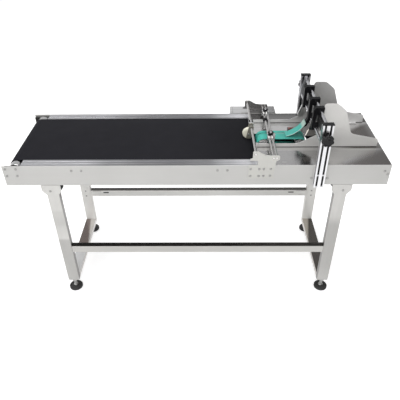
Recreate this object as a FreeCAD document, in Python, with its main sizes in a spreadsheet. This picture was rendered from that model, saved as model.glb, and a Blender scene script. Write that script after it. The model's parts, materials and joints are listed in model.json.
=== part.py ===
import FreeCAD, Part
import math
import os
import Sketcher
from FreeCAD import Placement, Rotation, Vector

# Friction feeder with belt conveyor on a tube stand.
# Frame: floor at z = 0, z up, x along the table (feeder at +x), y across it (operator at -y),
# origin on the floor under the middle of the table top.  Millimetres.

os.makedirs("parts", exist_ok=True)
doc = FreeCAD.newDocument("feeder_conveyor")
sheet = doc.addObject("Spreadsheet::Sheet", "Sizes")


class Size:
    """A length in millimetres together with the sheet formula that it comes from."""

    def __init__(self, value, text):
        self.value = float(value)
        self.text = text

    def __add__(self, other):
        other = as_size(other)
        return Size(self.value + other.value, "(%s + %s)" % (self.text, other.text))

    def __radd__(self, other):
        return as_size(other) + self

    def __sub__(self, other):
        other = as_size(other)
        return Size(self.value - other.value, "(%s - %s)" % (self.text, other.text))

    def __rsub__(self, other):
        return as_size(other) - self

    def __mul__(self, other):
        other = as_size(other)
        return Size(self.value * other.value, "(%s * %s)" % (self.text, other.text))

    def __rmul__(self, other):
        return as_size(other) * self

    def __truediv__(self, other):
        other = as_size(other)
        return Size(self.value / other.value, "(%s / %s)" % (self.text, other.text))

    def __neg__(self):
        return Size(-self.value, "(-1 * %s)" % self.text)


def as_size(number):
    if isinstance(number, Size):
        return number
    return Size(number, "%.6g" % number if number >= 0 else "(%.6g)" % number)


sheet_row = [0]


def size(alias, value):
    """One driving dimension: a row of the sheet, returned as a Size."""
    sheet_row[0] += 1
    row = sheet_row[0]
    sheet.set("A%d" % row, alias)
    sheet.set("B%d" % row, "%.6g" % value)
    sheet.setAlias("B%d" % row, alias)
    return Size(value, "Sizes.%s" % alias)


# ---------------------------------------------------------------- driving dimensions
table_length = size("table_length", 1500)
table_width = size("table_width", 445)
table_top = size("table_top", 680)
panel_height = size("panel_height", 90)
panel_sheet = size("panel_sheet", 2)
panel_flange = size("panel_flange", 22)
panel_bend = size("panel_bend", 2)
seat_gap = size("seat_gap", 0.3)
running_fit = size("running_fit", 0.05)
cut_over = size("cut_over", 1)

# Places in the feeder are given from the table's middle for a table that reaches feeder_datum to the
# right, and keep their distance from its right end when its length changes.
feeder_datum = size("feeder_datum", 750)
feeder_shift = table_length / 2 - feeder_datum

leg_inset = size("leg_inset", 175)
leg_width = size("leg_width", 50)
leg_depth = size("leg_depth", 25)
leg_wall = size("leg_wall", 2)
leg_bottom = size("leg_bottom", 55)
leg_base_sheet = size("leg_base_sheet", 5)
leg_corner = size("leg_corner", 3)
gusset_sheet = size("gusset_sheet", 3)
gusset_out = size("gusset_out", 16)
gusset_in = size("gusset_in", 12)
gusset_straight = size("gusset_straight", 26)
gusset_height = size("gusset_height", 50)
foot_radius = size("foot_radius", 30)
foot_height = size("foot_height", 13)
foot_rim = size("foot_rim", 3)
foot_cone = size("foot_cone", 2)
stud_radius = size("stud_radius", 6)
stud_top = size("stud_top", 95)
neck_radius = size("neck_radius", 9)
neck_top = size("neck_top", 22)
jam_nut_flats = size("jam_nut_flats", 22)
jam_nut_height = size("jam_nut_height", 12)
jam_nut_top = size("jam_nut_top", 54.7)
rail_height = size("rail_height", 25)
stretcher_height = size("stretcher_height", 35)
stretcher_bottom = size("stretcher_bottom", 230)

belt_side = size("belt_side", 47.5)
belt_thickness = size("belt_thickness", 2)
roller_radius = size("roller_radius", 28)
tail_inset = size("tail_inset", 44)
drum_x = size("drum_x", 212) + feeder_shift
roller_bore = size("roller_bore", 15)
roller_hub_depth = size("roller_hub_depth", 4)
axle_radius = size("axle_radius", 8)
axle_inset = size("axle_inset", 4)
bed_clearance = size("bed_clearance", 32)
bed_margin = size("bed_margin", 2)
bed_sheet = size("bed_sheet", 2)
bed_drop = size("bed_drop", 30)
strip_inset = size("strip_inset", 28)
strip_gap = size("strip_gap", 1)
strip_height = size("strip_height", 6)
strip_groove = size("strip_groove", 1.5)
strip_groove_width = size("strip_groove_width", 5)
strip_groove_first = size("strip_groove_first", 12)
strip_groove_second = size("strip_groove_second", 28)
side_clearance = size("side_clearance", 1)
block_length = size("block_length", 70)
block_height = size("block_height", 44)
block_thickness = size("block_thickness", 16)
block_rim = size("block_rim", 30)
mount_length = size("mount_length", 50)

deck_start = size("deck_start", 245) + feeder_shift
deck_sheet = size("deck_sheet", 3)
deck_inset = size("deck_inset", 0.3)
deck_lip = size("deck_lip", 86)
cheek_front_y = size("cheek_front_y", -83.5)
cheek_rear_y = size("cheek_rear_y", 128.5)
cheek_sheet = size("cheek_sheet", 2)
cheek_start = size("cheek_start", 247) + feeder_shift
cheek_end = size("cheek_end", 730) + feeder_shift
cheek_low_wall = size("cheek_low_wall", 16)
cheek_rise_x = size("cheek_rise_x", 410) + feeder_shift
cheek_mid_x = size("cheek_mid_x", 479) + feeder_shift
cheek_mid_height = size("cheek_mid_height", 54)
cheek_neck_height = size("cheek_neck_height", 80)
hump_left_x = size("hump_left_x", 495) + feeder_shift
hump_top = size("hump_top", 189)
hump_top_right = size("hump_top_right", 545) + feeder_shift
hump_shoulder_x = size("hump_shoulder_x", 583) + feeder_shift
hump_shoulder_height = size("hump_shoulder_height", 158)
hump_foot_x = size("hump_foot_x", 617) + feeder_shift
hump_foot_height = size("hump_foot_height", 59)
cheek_tail_height = size("cheek_tail_height", 36)
cheek_end_round = size("cheek_end_round", 12)
cheek_foot_round = size("cheek_foot_round", 26)
cheek_shoulder_round = size("cheek_shoulder_round", 26)
cheek_top_round = size("cheek_top_round", 30)
cheek_mid_round = size("cheek_mid_round", 12)
cheek_rise_round = size("cheek_rise_round", 40)
cheek_flange = size("cheek_flange", 14)
cheek_flange_start = size("cheek_flange_start", 500) + feeder_shift
cheek_flange_end = size("cheek_flange_end", 700) + feeder_shift

feed_left_x = size("feed_left_x", 278) + feeder_shift
feed_right_x = size("feed_right_x", 428) + feeder_shift
feed_roller_radius = size("feed_roller_radius", 24.5)
feed_belt_thickness = size("feed_belt_thickness", 2.5)
feed_axis_z = size("feed_axis_z", -12)
feed_front_y = size("feed_front_y", -42)
feed_front_width = size("feed_front_width", 48)
feed_rear_y = size("feed_rear_y", 12)
feed_rear_width = size("feed_rear_width", 16)
feed_shaft_radius = size("feed_shaft_radius", 6)
slot_margin = size("slot_margin", 4)
feed_frame_sheet = size("feed_frame_sheet", 5)
feed_frame_depth = size("feed_frame_depth", 50)
feed_frame_gap = size("feed_frame_gap", 6)
feed_frame_reach = size("feed_frame_reach", 8)
feed_side = size("feed_side", 1)
feed_waist = size("feed_waist", 3)
feed_waist_gap = size("feed_waist_gap", 1.5)

eye_x = size("eye_x", 401) + feeder_shift
eye_length = size("eye_length", 26)
eye_width = size("eye_width", 20)
eye_height = size("eye_height", 16)
eye_lens = size("eye_lens", 5)
eye_lens_height = size("eye_lens_height", 2.5)
ramp_gap = size("ramp_gap", 2)
ramp_length = size("ramp_length", 35)
ramp_toe = size("ramp_toe", 5)
ramp_shoulder = size("ramp_shoulder", 20)
ramp_height = size("ramp_height", 34)
ramp_peak = size("ramp_peak", 18)
ramp_low_y = size("ramp_low_y", -13)
ramp_width = size("ramp_width", 28)
bracket_sheet = size("bracket_sheet", 4)
bracket_drop = size("bracket_drop", 57)
bracket_margin = size("bracket_margin", 24.5)
bracket_rim = size("bracket_rim", 10.5)
bracket_notch = size("bracket_notch", 20)
bracket_seat = size("bracket_seat", 3)
bracket_step = size("bracket_step", 4)
bracket_waist = size("bracket_waist", 2)
bracket_tab = size("bracket_tab", 5)
bracket_tab_low = size("bracket_tab_low", 1)
bracket_tab_high = size("bracket_tab_high", 7)
bracket_throat = size("bracket_throat", 10)
bracket_throat_round = size("bracket_throat_round", 6)
bracket_top_round = size("bracket_top_round", 4)
bracket_foot_round = size("bracket_foot_round", 3)
exit_rod_x = size("exit_rod_x", 227.5) + feeder_shift
exit_rod_z = size("exit_rod_z", 52)
rod_radius = size("rod_radius", 5)
twin_left_x = size("twin_left_x", 296) + feeder_shift
twin_right_x = size("twin_right_x", 309) + feeder_shift
twin_z = size("twin_z", 34)
wheel_x = size("wheel_x", 216) + feeder_shift
wheel_y = size("wheel_y", -6)
wheel_radius = size("wheel_radius", 24)
wheel_width = size("wheel_width", 18)
wheel_gap = size("wheel_gap", 0.4)
arm_sheet = size("arm_sheet", 5)
arm_rim = size("arm_rim", 9)
arm_foot_height = size("arm_foot_height", 4)
arm_foot_left = size("arm_foot_left", 9)
arm_foot_right = size("arm_foot_right", 10)
arm_side = size("arm_side", 7)
arm_bow = size("arm_bow", 3)
arm_clamp_width = size("arm_clamp_width", 24)
arm_clamp_side = size("arm_clamp_side", 10)
arm_clamp_low = size("arm_clamp_low", 9)
arm_clamp_high = size("arm_clamp_high", 14)
wheel_pin_radius = size("wheel_pin_radius", 4)
wheel_pin_head = size("wheel_pin_head", 3)
wheel_chamfer = size("wheel_chamfer", 3)
separator_y = size("separator_y", -54.5)
separator_length = size("separator_length", 30)
separator_height = size("separator_height", 20)
separator_margin = size("separator_margin", 8)
blade_sheet = size("blade_sheet", 4)
blade_width = size("blade_width", 15)
thumb_radius = size("thumb_radius", 12)
thumb_height = size("thumb_height", 7.5)
thumb_stem = size("thumb_stem", 3)
thumb_stem_height = size("thumb_stem_height", 2.5)
thumb_edge = size("thumb_edge", 2)
thumb_dish = size("thumb_dish", 5)
thumb_dish_depth = size("thumb_dish_depth", 1)
rod_block_inset = size("rod_block_inset", 64.5)
rod_block_length = size("rod_block_length", 20)
blade_reach = size("blade_reach", 48)
blade_foot = size("blade_foot", 4.5)
blade_foot_x = size("blade_foot_x", 298) + feeder_shift
blade_lift = size("blade_lift", 1.5)

post_x = size("post_x", 478) + feeder_shift
post_width = size("post_width", 40)
post_depth = size("post_depth", 20)
post_drop = size("post_drop", 90)
post_top = size("post_top", 178)
post_slot = size("post_slot", 7.6)
post_slot_core = size("post_slot_core", 11.6)
post_slot_depth = size("post_slot_depth", 6)
post_lip = size("post_lip", 1.8)
cap_height = size("cap_height", 4)
cap_overhang = size("cap_overhang", 1)
knob_z = size("knob_z", 126)
bar_rise = size("bar_rise", 6)
stud_slot_side = size("stud_slot_side", 0.3)
stud_slot_end = size("stud_slot_end", 0.5)
knob_radius = size("knob_radius", 23)
knob_thickness = size("knob_thickness", 18)
knob_lobe = size("knob_lobe", 6)
knob_hub = size("knob_hub", 11)
knob_hub_length = size("knob_hub_length", 8)
knob_stud = size("knob_stud", 4)
knob_reach = size("knob_reach", 12)
knob_hole = size("knob_hole", 16)
knob_chamfer = size("knob_chamfer", 2)
gate_travel = size("gate_travel", 20)
bar_width = size("bar_width", 13)
bar_height = size("bar_height", 30)
end_plate_sheet = size("end_plate_sheet", 8)
end_plate_rim = size("end_plate_rim", 9)
upper_rod_x = size("upper_rod_x", 480) + feeder_shift
upper_rod_z = size("upper_rod_z", 164)
lower_rod_x = size("lower_rod_x", 467) + feeder_shift
lower_rod_z = size("lower_rod_z", 97)
gate_rod_radius = size("gate_rod_radius", 6)
hanger_left = size("hanger_left", 453) + feeder_shift
hanger_wall = size("hanger_wall", 13)
hanger_width = size("hanger_width", 20)
hanger_gap = size("hanger_gap", 2)
hanger_rim = size("hanger_rim", 8)
hanger_low_rim = size("hanger_low_rim", 6)
guide_front_y = size("guide_front_y", -88)
guide_rear_y = size("guide_rear_y", 115)
guide_sheet = size("guide_sheet", 9)
guide_play = size("guide_play", 1.5)
guide_toe = size("guide_toe", 16)
guide_bottom = size("guide_bottom", 28)
guide_heel = size("guide_heel", 22)
guide_heel_height = size("guide_heel_height", 50)
guide_toe_height = size("guide_toe_height", 44)
guide_neck = size("guide_neck", 4)
entry_y = size("entry_y", -4)
entry_width = size("entry_width", 40)
entry_centre = size("entry_centre", -8)
entry_start_x = size("entry_start_x", 370) + feeder_shift
entry_sheet = size("entry_sheet", 3)
entry_gap = size("entry_gap", 2)
entry_radius = size("entry_radius", 110)
shoe_depth = size("shoe_depth", 4)

box_start = size("box_start", 153) + feeder_shift
box_length = size("box_length", 207)
box_depth = size("box_depth", 68)
box_height = size("box_height", 84)
box_top = size("box_top", 2)
box_corner = size("box_corner", 4)
inlet_offset = size("inlet_offset", 60)
inlet_length = size("inlet_length", 28)
inlet_width = size("inlet_width", 24)
inlet_depth = size("inlet_depth", 14)
bolt_head_radius = size("bolt_head_radius", 5)
bolt_head_height = size("bolt_head_height", 3)
bolt_margin = size("bolt_margin", 14)
bolt_pitch = size("bolt_pitch", 31)
bolt_edge = size("bolt_edge", 8)
block_bolt_inset = size("block_bolt_inset", 21)
bed_bolt_inset = size("bed_bolt_inset", 96)
bed_bolt_gap = size("bed_bolt_gap", 38)
bracket_bolt_far = size("bracket_bolt_far", 52)
bracket_bolt_near = size("bracket_bolt_near", 34)
doc.recompute()

half_width = table_width / 2
rod_block_y = half_width - rod_block_inset
table_half = table_length / 2
leg_x = table_half - leg_inset
tail_x = tail_inset - table_half
bed_start = tail_x + bed_clearance
bed_end = drum_x - bed_clearance
strip_start = tail_x + strip_inset
strip_end = deck_start - strip_gap
belt_width = table_width - belt_side * 2
post_bottom = -post_drop
bar_z = knob_z + bar_rise
inner_width = half_width - panel_sheet
panel_bottom = table_top - panel_height
TOL = 0.02


# ---------------------------------------------------------------- small modelling helpers
def bind(target, prop, amount):
    """Ties a property to its sheet formula, or sets it when it is a plain number."""
    if isinstance(amount, Size):
        target.setExpression(prop, amount.text)
    else:
        target.setExpression(prop, as_size(amount).text)


def place(target, x=0, y=0, z=0):
    bind(target, ".Placement.Base.x", as_size(x))
    bind(target, ".Placement.Base.y", as_size(y))
    bind(target, ".Placement.Base.z", as_size(z))


def new_body(label):
    body = doc.addObject("PartDesign::Body", label)
    body.Label = label
    return body


PLANE_NORMAL = {"XY": 1.0, "XZ": -1.0, "YZ": 1.0}


def sketch_on(body, plane, at=0):
    """A sketch on one of the body's origin planes, moved along the plane's normal to `at`."""
    sketch = body.newObject("Sketcher::SketchObject", "%s_sketch" % body.Name)
    for feature in body.Origin.OriginFeatures:
        if feature.Role == "%s_Plane" % plane:
            sketch.AttachmentSupport = [(feature, "")]
    sketch.MapMode = "FlatFace"
    shift = as_size(at)
    if PLANE_NORMAL[plane] < 0:
        shift = -shift
    bind(sketch, ".AttachmentOffset.Base.z", shift)
    return sketch


def fix_point(sketch, edge, end, across, up):
    """Holds one end of an edge at (across, up) from the sketch's origin."""
    for kind, amount in (("DistanceX", as_size(across)), ("DistanceY", as_size(up))):
        index = sketch.addConstraint(Sketcher.Constraint(kind, -1, 1, edge, end, amount.value))
        sketch.setExpression("Constraints[%d]" % index, amount.text)


def draw_outline(sketch, points):
    """A closed polygon; every corner is held by its two coordinates."""
    corners = [(as_size(a), as_size(b)) for a, b in points]
    first = sketch.GeometryCount
    count = len(corners)
    for i in range(count):
        a, b = corners[i]
        c, d = corners[(i + 1) % count]
        sketch.addGeometry(Part.LineSegment(Vector(a.value, b.value, 0), Vector(c.value, d.value, 0)))
    for i in range(count):
        sketch.addConstraint(Sketcher.Constraint("Coincident", first + i, 2, first + (i + 1) % count, 1))
    for i in range(count):
        fix_point(sketch, first + i, 1, corners[i][0], corners[i][1])


def draw_box(sketch, left, low, right, high):
    draw_outline(sketch, [(left, low), (right, low), (right, high), (left, high)])


def draw_circle(sketch, across, up, radius):
    across, up, radius = as_size(across), as_size(up), as_size(radius)
    circle = Part.Circle(Vector(across.value, up.value, 0), Vector(0, 0, 1), radius.value)
    edge = sketch.addGeometry(circle)
    index = sketch.addConstraint(Sketcher.Constraint("Radius", edge, radius.value))
    sketch.setExpression("Constraints[%d]" % index, radius.text)
    fix_point(sketch, edge, 3, across, up)


def draw_slot(sketch, left, right, level, radius):
    """A stadium: two half circles about (left, level) and (right, level) joined by lines."""
    left, right, level, radius = as_size(left), as_size(right), as_size(level), as_size(radius)
    a, b, c, r = left.value, right.value, level.value, radius.value
    up = Vector(0, 0, 1)
    arc_left = Part.ArcOfCircle(Part.Circle(Vector(a, c, 0), up, r), math.pi / 2, 3 * math.pi / 2)
    arc_right = Part.ArcOfCircle(Part.Circle(Vector(b, c, 0), up, r), -math.pi / 2, math.pi / 2)
    one = sketch.addGeometry(arc_left)
    two = sketch.addGeometry(Part.LineSegment(Vector(a, c - r, 0), Vector(b, c - r, 0)))
    three = sketch.addGeometry(arc_right)
    four = sketch.addGeometry(Part.LineSegment(Vector(b, c + r, 0), Vector(a, c + r, 0)))
    for first, first_end, second, second_end in ((one, 2, two, 1), (two, 2, three, 1),
                                                 (three, 2, four, 1), (four, 2, one, 1)):
        sketch.addConstraint(Sketcher.Constraint("Tangent", first, first_end, second, second_end))
    index = sketch.addConstraint(Sketcher.Constraint("Radius", one, r))
    sketch.setExpression("Constraints[%d]" % index, radius.text)
    fix_point(sketch, one, 3, left, level)
    fix_point(sketch, three, 3, right, level)


def pad(body, sketch, length):
    """Raises the sketch towards +x, +y or +z, whichever its plane faces."""
    feature = body.newObject("PartDesign::Pad", "%s_pad" % body.Name)
    feature.Profile = sketch
    bind(feature, "Length", length)
    feature.Reversed = "XZ_Plane" in sketch.AttachmentSupport[0][0].Role
    sketch.Visibility = False
    doc.recompute()
    return feature


def cut(body, sketch, length, through=False):
    """Cuts the sketch towards +x, +y or +z and makes sure that something was removed."""
    before = body.Shape.Volume
    feature = body.newObject("PartDesign::Pocket", "%s_cut" % body.Name)
    feature.Profile = sketch
    feature.Reversed = "XZ_Plane" not in sketch.AttachmentSupport[0][0].Role
    if through:
        feature.Type = "ThroughAll"
        feature.Midplane = True
    else:
        bind(feature, "Length", length)
    doc.recompute()
    if body.Shape.Volume > before - 1e-3:
        raise RuntimeError("%s: a cut removed nothing" % body.Label)
    return feature


def turn(body, sketch, axis):
    """Revolves the sketch a full turn about its own H_Axis or V_Axis."""
    feature = body.newObject("PartDesign::Revolution", "%s_turned" % body.Name)
    feature.Profile = sketch
    feature.ReferenceAxis = (sketch, [axis])
    feature.Angle = 360
    doc.recompute()
    return feature


def round_edges(body, radius, chosen):
    """Fillets the edges of the body for which chosen(edge) is true."""
    base = body.Tip
    names = ["Edge%d" % (i + 1) for i, edge in enumerate(base.Shape.Edges) if chosen(edge)]
    if not names:
        raise RuntimeError("%s: no edge to round" % body.Label)
    feature = body.newObject("PartDesign::Fillet", "%s_round" % body.Name)
    feature.Base = (base, names)
    bind(feature, "Radius", radius)
    doc.recompute()
    return feature


def straight_along(edge, axis):
    if edge.Curve.TypeId != "Part::GeomLine":
        return False
    direction = edge.Vertexes[1].Point - edge.Vertexes[0].Point
    direction.normalize()
    return abs(abs(direction.dot(axis)) - 1) < 1e-6


def edge_near(axis, first, second):
    """Picks straight edges along `axis` that pass through the given pair of coordinates."""
    first, second = as_size(first).value, as_size(second).value

    def chosen(edge):
        if not straight_along(edge, axis):
            return False
        point = edge.Vertexes[0].Point
        pair = [point.x, point.y, point.z]
        skip = [abs(axis.x), abs(axis.y), abs(axis.z)].index(1.0)
        pair.pop(skip)
        return abs(pair[0] - first) < TOL and abs(pair[1] - second) < TOL

    return chosen


ALONG_X = Vector(1, 0, 0)
ALONG_Y = Vector(0, 1, 0)
ALONG_Z = Vector(0, 0, 1)


def turned_piece(label, outline, x, y, z, plane="XZ", axis="V_Axis"):
    """A piece of revolution: `outline` lies to one side of the axis, which is put at (x, y, z)."""
    body = new_body(label)
    sketch = sketch_on(body, plane)
    draw_outline(sketch, outline)
    turn(body, sketch, axis)
    place(body, x, y, z)
    return body


def plate_piece(label, plane, at, thickness, outline, holes=()):
    """A flat plate: an outline with round holes, standing on a plane."""
    body = new_body(label)
    sketch = sketch_on(body, plane, at)
    draw_outline(sketch, outline)
    for across, up, radius in holes:
        draw_circle(sketch, across, up, radius)
    pad(body, sketch, thickness)
    return body


# ---------------------------------------------------------------- stand
def make_leg(label, side, face):
    """Rectangular tube leg; side is -1 left or 1 right, face is -1 front or 1 rear."""
    body = new_body(label)
    centre = leg_x * side
    low_y = (half_width * face) if face < 0 else (half_width - leg_depth)
    top = panel_bottom - seat_gap
    sketch = sketch_on(body, "XY", leg_bottom)
    draw_box(sketch, centre - leg_width / 2, low_y, centre + leg_width / 2, low_y + leg_depth)
    pad(body, sketch, top - leg_bottom)
    outer_x = (centre - leg_width / 2).value, (centre + leg_width / 2).value
    round_edges(body, leg_corner, lambda edge: straight_along(edge, ALONG_Z))
    hollow = sketch_on(body, "XY", leg_bottom + leg_base_sheet)
    draw_box(hollow, centre - leg_width / 2 + leg_wall, low_y + leg_wall,
             centre + leg_width / 2 - leg_wall, low_y + leg_depth - leg_wall)
    cut(body, hollow, top - leg_bottom - leg_base_sheet * 2)
    bore = sketch_on(body, "XY", leg_bottom)
    draw_circle(bore, centre, low_y + leg_depth / 2, stud_radius + running_fit)
    cut(body, bore, leg_base_sheet)
    # Flared bracket: a plate in the plane of the leg's outer face, wider than the tube at its top.
    plate_y = low_y if face < 0 else low_y + leg_depth - gusset_sheet
    flare_left = gusset_out if side < 0 else gusset_in
    flare_right = gusset_in if side < 0 else gusset_out
    wide_left = centre - leg_width / 2 - flare_left
    wide_right = centre + leg_width / 2 + flare_right
    bracket = sketch_on(body, "XZ", plate_y)
    draw_outline(bracket, [(centre - leg_width / 2 + leg_corner, top - gusset_height),
                           (centre + leg_width / 2 - leg_corner, top - gusset_height),
                           (wide_right, top - gusset_straight),
                           (wide_right, top),
                           (wide_left, top),
                           (wide_left, top - gusset_straight)])
    pad(body, bracket, gusset_sheet)
    flange = sketch_on(body, "XY", top - gusset_sheet)
    inner_y = low_y - (panel_flange - leg_depth) if face > 0 else low_y
    draw_box(flange, wide_left, inner_y, wide_right, inner_y + panel_flange)
    pad(body, flange, gusset_sheet)
    return body


def make_foot(label, side, face):
    """Levelling foot: soft disc, neck, jam nut under the leg and a stud up into the leg."""
    body = new_body(label)
    sketch = sketch_on(body, "XZ")
    draw_outline(sketch, [(0, 0),
                          (foot_radius - foot_rim, 0),
                          (foot_radius, foot_rim),
                          (foot_radius, foot_height - foot_rim),
                          (foot_radius - foot_rim, foot_height),
                          (neck_radius, foot_height + foot_cone),
                          (neck_radius, neck_top),
                          (stud_radius, neck_top),
                          (stud_radius, stud_top),
                          (0, stud_top)])
    turn(body, sketch, "V_Axis")
    nut = sketch_on(body, "XY", jam_nut_top - jam_nut_height)
    across = jam_nut_flats / 2
    corner = across / math.sqrt(3)
    draw_outline(nut, [(corner * 2, 0), (corner, across), (-corner, across),
                       (-(corner * 2), 0), (-corner, -across), (corner, -across)])
    pad(body, nut, jam_nut_height)
    place(body, leg_x * side, (half_width - leg_depth / 2) * face, 0)
    return body


for side_name, side in (("left", -1), ("right", 1)):
    for face_name, face in (("front", -1), ("rear", 1)):
        make_leg("leg_%s_%s" % (face_name, side_name), side, face)
        make_foot("foot_%s_%s" % (face_name, side_name), side, face)
    # End rail: a flat tube at the bottom of the two legs of one end.
    rail = new_body("end_rail_%s" % side_name)
    rail_sketch = sketch_on(rail, "XZ", -(half_width - leg_depth))
    draw_box(rail_sketch, leg_x * side - leg_width / 2, leg_bottom,
             leg_x * side + leg_width / 2, leg_bottom + rail_height)
    draw_box(rail_sketch, leg_x * side - leg_width / 2 + leg_wall, leg_bottom + leg_wall,
             leg_x * side + leg_width / 2 - leg_wall, leg_bottom + rail_height - leg_wall)
    pad(rail, rail_sketch, (half_width - leg_depth) * 2)

for face_name, face in (("front", -1), ("rear", 1)):
    stretcher = new_body("stretcher_%s" % face_name)
    low_y = -half_width if face < 0 else half_width - leg_depth
    stretcher_sketch = sketch_on(stretcher, "YZ", -(leg_x - leg_width / 2))
    draw_box(stretcher_sketch, low_y, stretcher_bottom, low_y + leg_depth,
             stretcher_bottom + stretcher_height)
    draw_box(stretcher_sketch, low_y + leg_wall, stretcher_bottom + leg_wall,
             low_y + leg_depth - leg_wall, stretcher_bottom + stretcher_height - leg_wall)
    pad(stretcher, stretcher_sketch, leg_x * 2 - leg_width)

# ---------------------------------------------------------------- table body
for face_name, face in (("front", -1), ("rear", 1)):
    # Side panel: a bent sheet, its web standing at the table's edge, its flange turned in below.
    panel = new_body("side_panel_%s" % face_name)
    panel_sketch = sketch_on(panel, "YZ", -table_half)
    web_out = half_width * face
    web_in = inner_width * face
    flange_in = (half_width - panel_flange) * face
    draw_outline(panel_sketch, [(web_out, panel_bottom),
                                (web_out, table_top),
                                (web_in, table_top),
                                (web_in, panel_bottom + panel_sheet),
                                (flange_in, panel_bottom + panel_sheet),
                                (flange_in, panel_bottom)])
    pad(panel, panel_sketch, table_length)
    round_edges(panel, panel_bend, edge_near(ALONG_X, web_out, panel_bottom))

# Belt bed: a formed sheet.  The belt runs on its raised middle, the edge strips sit on its
# shoulders, and its turned-down sides bolt to the panels.
bed = new_body("belt_bed")
bed_sketch = sketch_on(bed, "YZ", bed_start)
bed_top = table_top - belt_thickness - seat_gap
shoulder_top = table_top - strip_height
middle = belt_width / 2 - bed_margin
side_face = inner_width
bed_low = shoulder_top - bed_drop
bed_outline = [(-side_face, bed_low), (-side_face, shoulder_top), (-middle, shoulder_top),
               (-middle, bed_top), (middle, bed_top), (middle, shoulder_top),
               (side_face, shoulder_top), (side_face, bed_low),
               (side_face - bed_sheet, bed_low), (side_face - bed_sheet, shoulder_top - bed_sheet),
               (middle - bed_sheet, shoulder_top - bed_sheet), (middle - bed_sheet, bed_top - bed_sheet),
               (-(middle - bed_sheet), bed_top - bed_sheet),
               (-(middle - bed_sheet), shoulder_top - bed_sheet),
               (-(side_face - bed_sheet), shoulder_top - bed_sheet), (-(side_face - bed_sheet), bed_low)]
draw_outline(bed_sketch, bed_outline)
pad(bed, bed_sketch, bed_end - bed_start)

for face_name, face in (("front", -1), ("rear", 1)):
    # Edge strip: an extrusion with two grooves, filling the width from panel to belt.
    strip = new_body("edge_strip_%s" % face_name)
    strip_sketch = sketch_on(strip, "YZ", strip_start)
    outer = inner_width * face
    inner = (belt_width / 2 + side_clearance) * face
    first = (inner_width - strip_groove_first) * face
    second = (inner_width - strip_groove_second) * face
    groove_low = table_top - strip_groove
    step = strip_groove_width * face
    draw_outline(strip_sketch, [(outer, shoulder_top), (outer, table_top),
                                (first, table_top), (first, groove_low),
                                (first - step, groove_low), (first - step, table_top),
                                (second, table_top), (second, groove_low),
                                (second - step, groove_low), (second - step, table_top),
                                (inner, table_top), (inner, shoulder_top)])
    pad(strip, strip_sketch, strip_end - strip_start)

# Deck: a polished plate with a lip turned down at the machine's right end and a window for the
# feed belts.
deck = new_body("deck_plate")
deck_sketch = sketch_on(deck, "XZ", -(inner_width - deck_inset))
deck_right = table_half
draw_outline(deck_sketch, [(deck_start, table_top - deck_sheet), (deck_start, table_top),
                           (deck_right, table_top), (deck_right, table_top - deck_lip),
                           (deck_right - deck_sheet, table_top - deck_lip),
                           (deck_right - deck_sheet, table_top - deck_sheet)])
pad(deck, deck_sketch, (inner_width - deck_inset) * 2)
round_edges(deck, panel_bend, edge_near(ALONG_Y, deck_right, table_top))
window_left = deck_start - cut_over
window_right = feed_right_x + feed_roller_radius + feed_belt_thickness + slot_margin
window_front = feed_front_y - slot_margin
window_rear = feed_rear_y + feed_rear_width + slot_margin
window = sketch_on(deck, "XY", table_top - deck_sheet - cut_over)
draw_box(window, window_left, window_front, window_right, window_rear)
cut(deck, window, deck_sheet + cut_over * 2)

# ---------------------------------------------------------------- conveyor
belt = new_body("conveyor_belt")
belt_sketch = sketch_on(belt, "XZ", -(belt_width / 2))
belt_axis_z = table_top - belt_thickness - roller_radius
draw_slot(belt_sketch, tail_x, drum_x, belt_axis_z, roller_radius + belt_thickness)
draw_slot(belt_sketch, tail_x, drum_x, belt_axis_z, roller_radius)
pad(belt, belt_sketch, belt_width)

roller_run = roller_radius - seat_gap
roller_half = belt_width / 2 + side_clearance
axle_half = inner_width - axle_inset


def make_roller(label, x):
    """Conveyor roller about its y axis: shell, sunk hubs and axle ends."""
    outline = [(-axle_half, 0), (-axle_half, axle_radius),
               (-roller_half + roller_hub_depth, axle_radius),
               (-roller_half + roller_hub_depth, roller_bore),
               (-roller_half, roller_bore), (-roller_half, roller_run),
               (roller_half, roller_run), (roller_half, roller_bore),
               (roller_half - roller_hub_depth, roller_bore),
               (roller_half - roller_hub_depth, axle_radius),
               (axle_half, axle_radius), (axle_half, 0)]
    return turned_piece(label, outline, x, 0, belt_axis_z, plane="YZ", axis="H_Axis")


make_roller("tail_roller", tail_x)
make_roller("drive_drum", drum_x)

block_right = tail_x + block_rim
block_left = block_right - block_length
for face_name, face in (("front", -1), ("rear", 1)):
    block_y = (inner_width * face) if face < 0 else inner_width - block_thickness
    take_up = plate_piece("tail_block_%s" % face_name, "XZ", block_y, block_thickness,
                          [(block_left, belt_axis_z - block_height / 2),
                           (block_right, belt_axis_z - block_height / 2),
                           (block_right, belt_axis_z + block_height / 2),
                           (block_left, belt_axis_z + block_height / 2)],
                          [(tail_x, belt_axis_z, axle_radius + running_fit)])
    carrier = plate_piece("drum_mount_%s" % face_name, "XZ", block_y, block_thickness,
                          [(drum_x - mount_length / 2, belt_axis_z - block_height / 2),
                           (drum_x + mount_length / 2, belt_axis_z - block_height / 2),
                           (drum_x + mount_length / 2, belt_axis_z + block_height / 2),
                           (drum_x - mount_length / 2, belt_axis_z + block_height / 2)],
                          [(drum_x, belt_axis_z, axle_radius + running_fit)])

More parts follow.
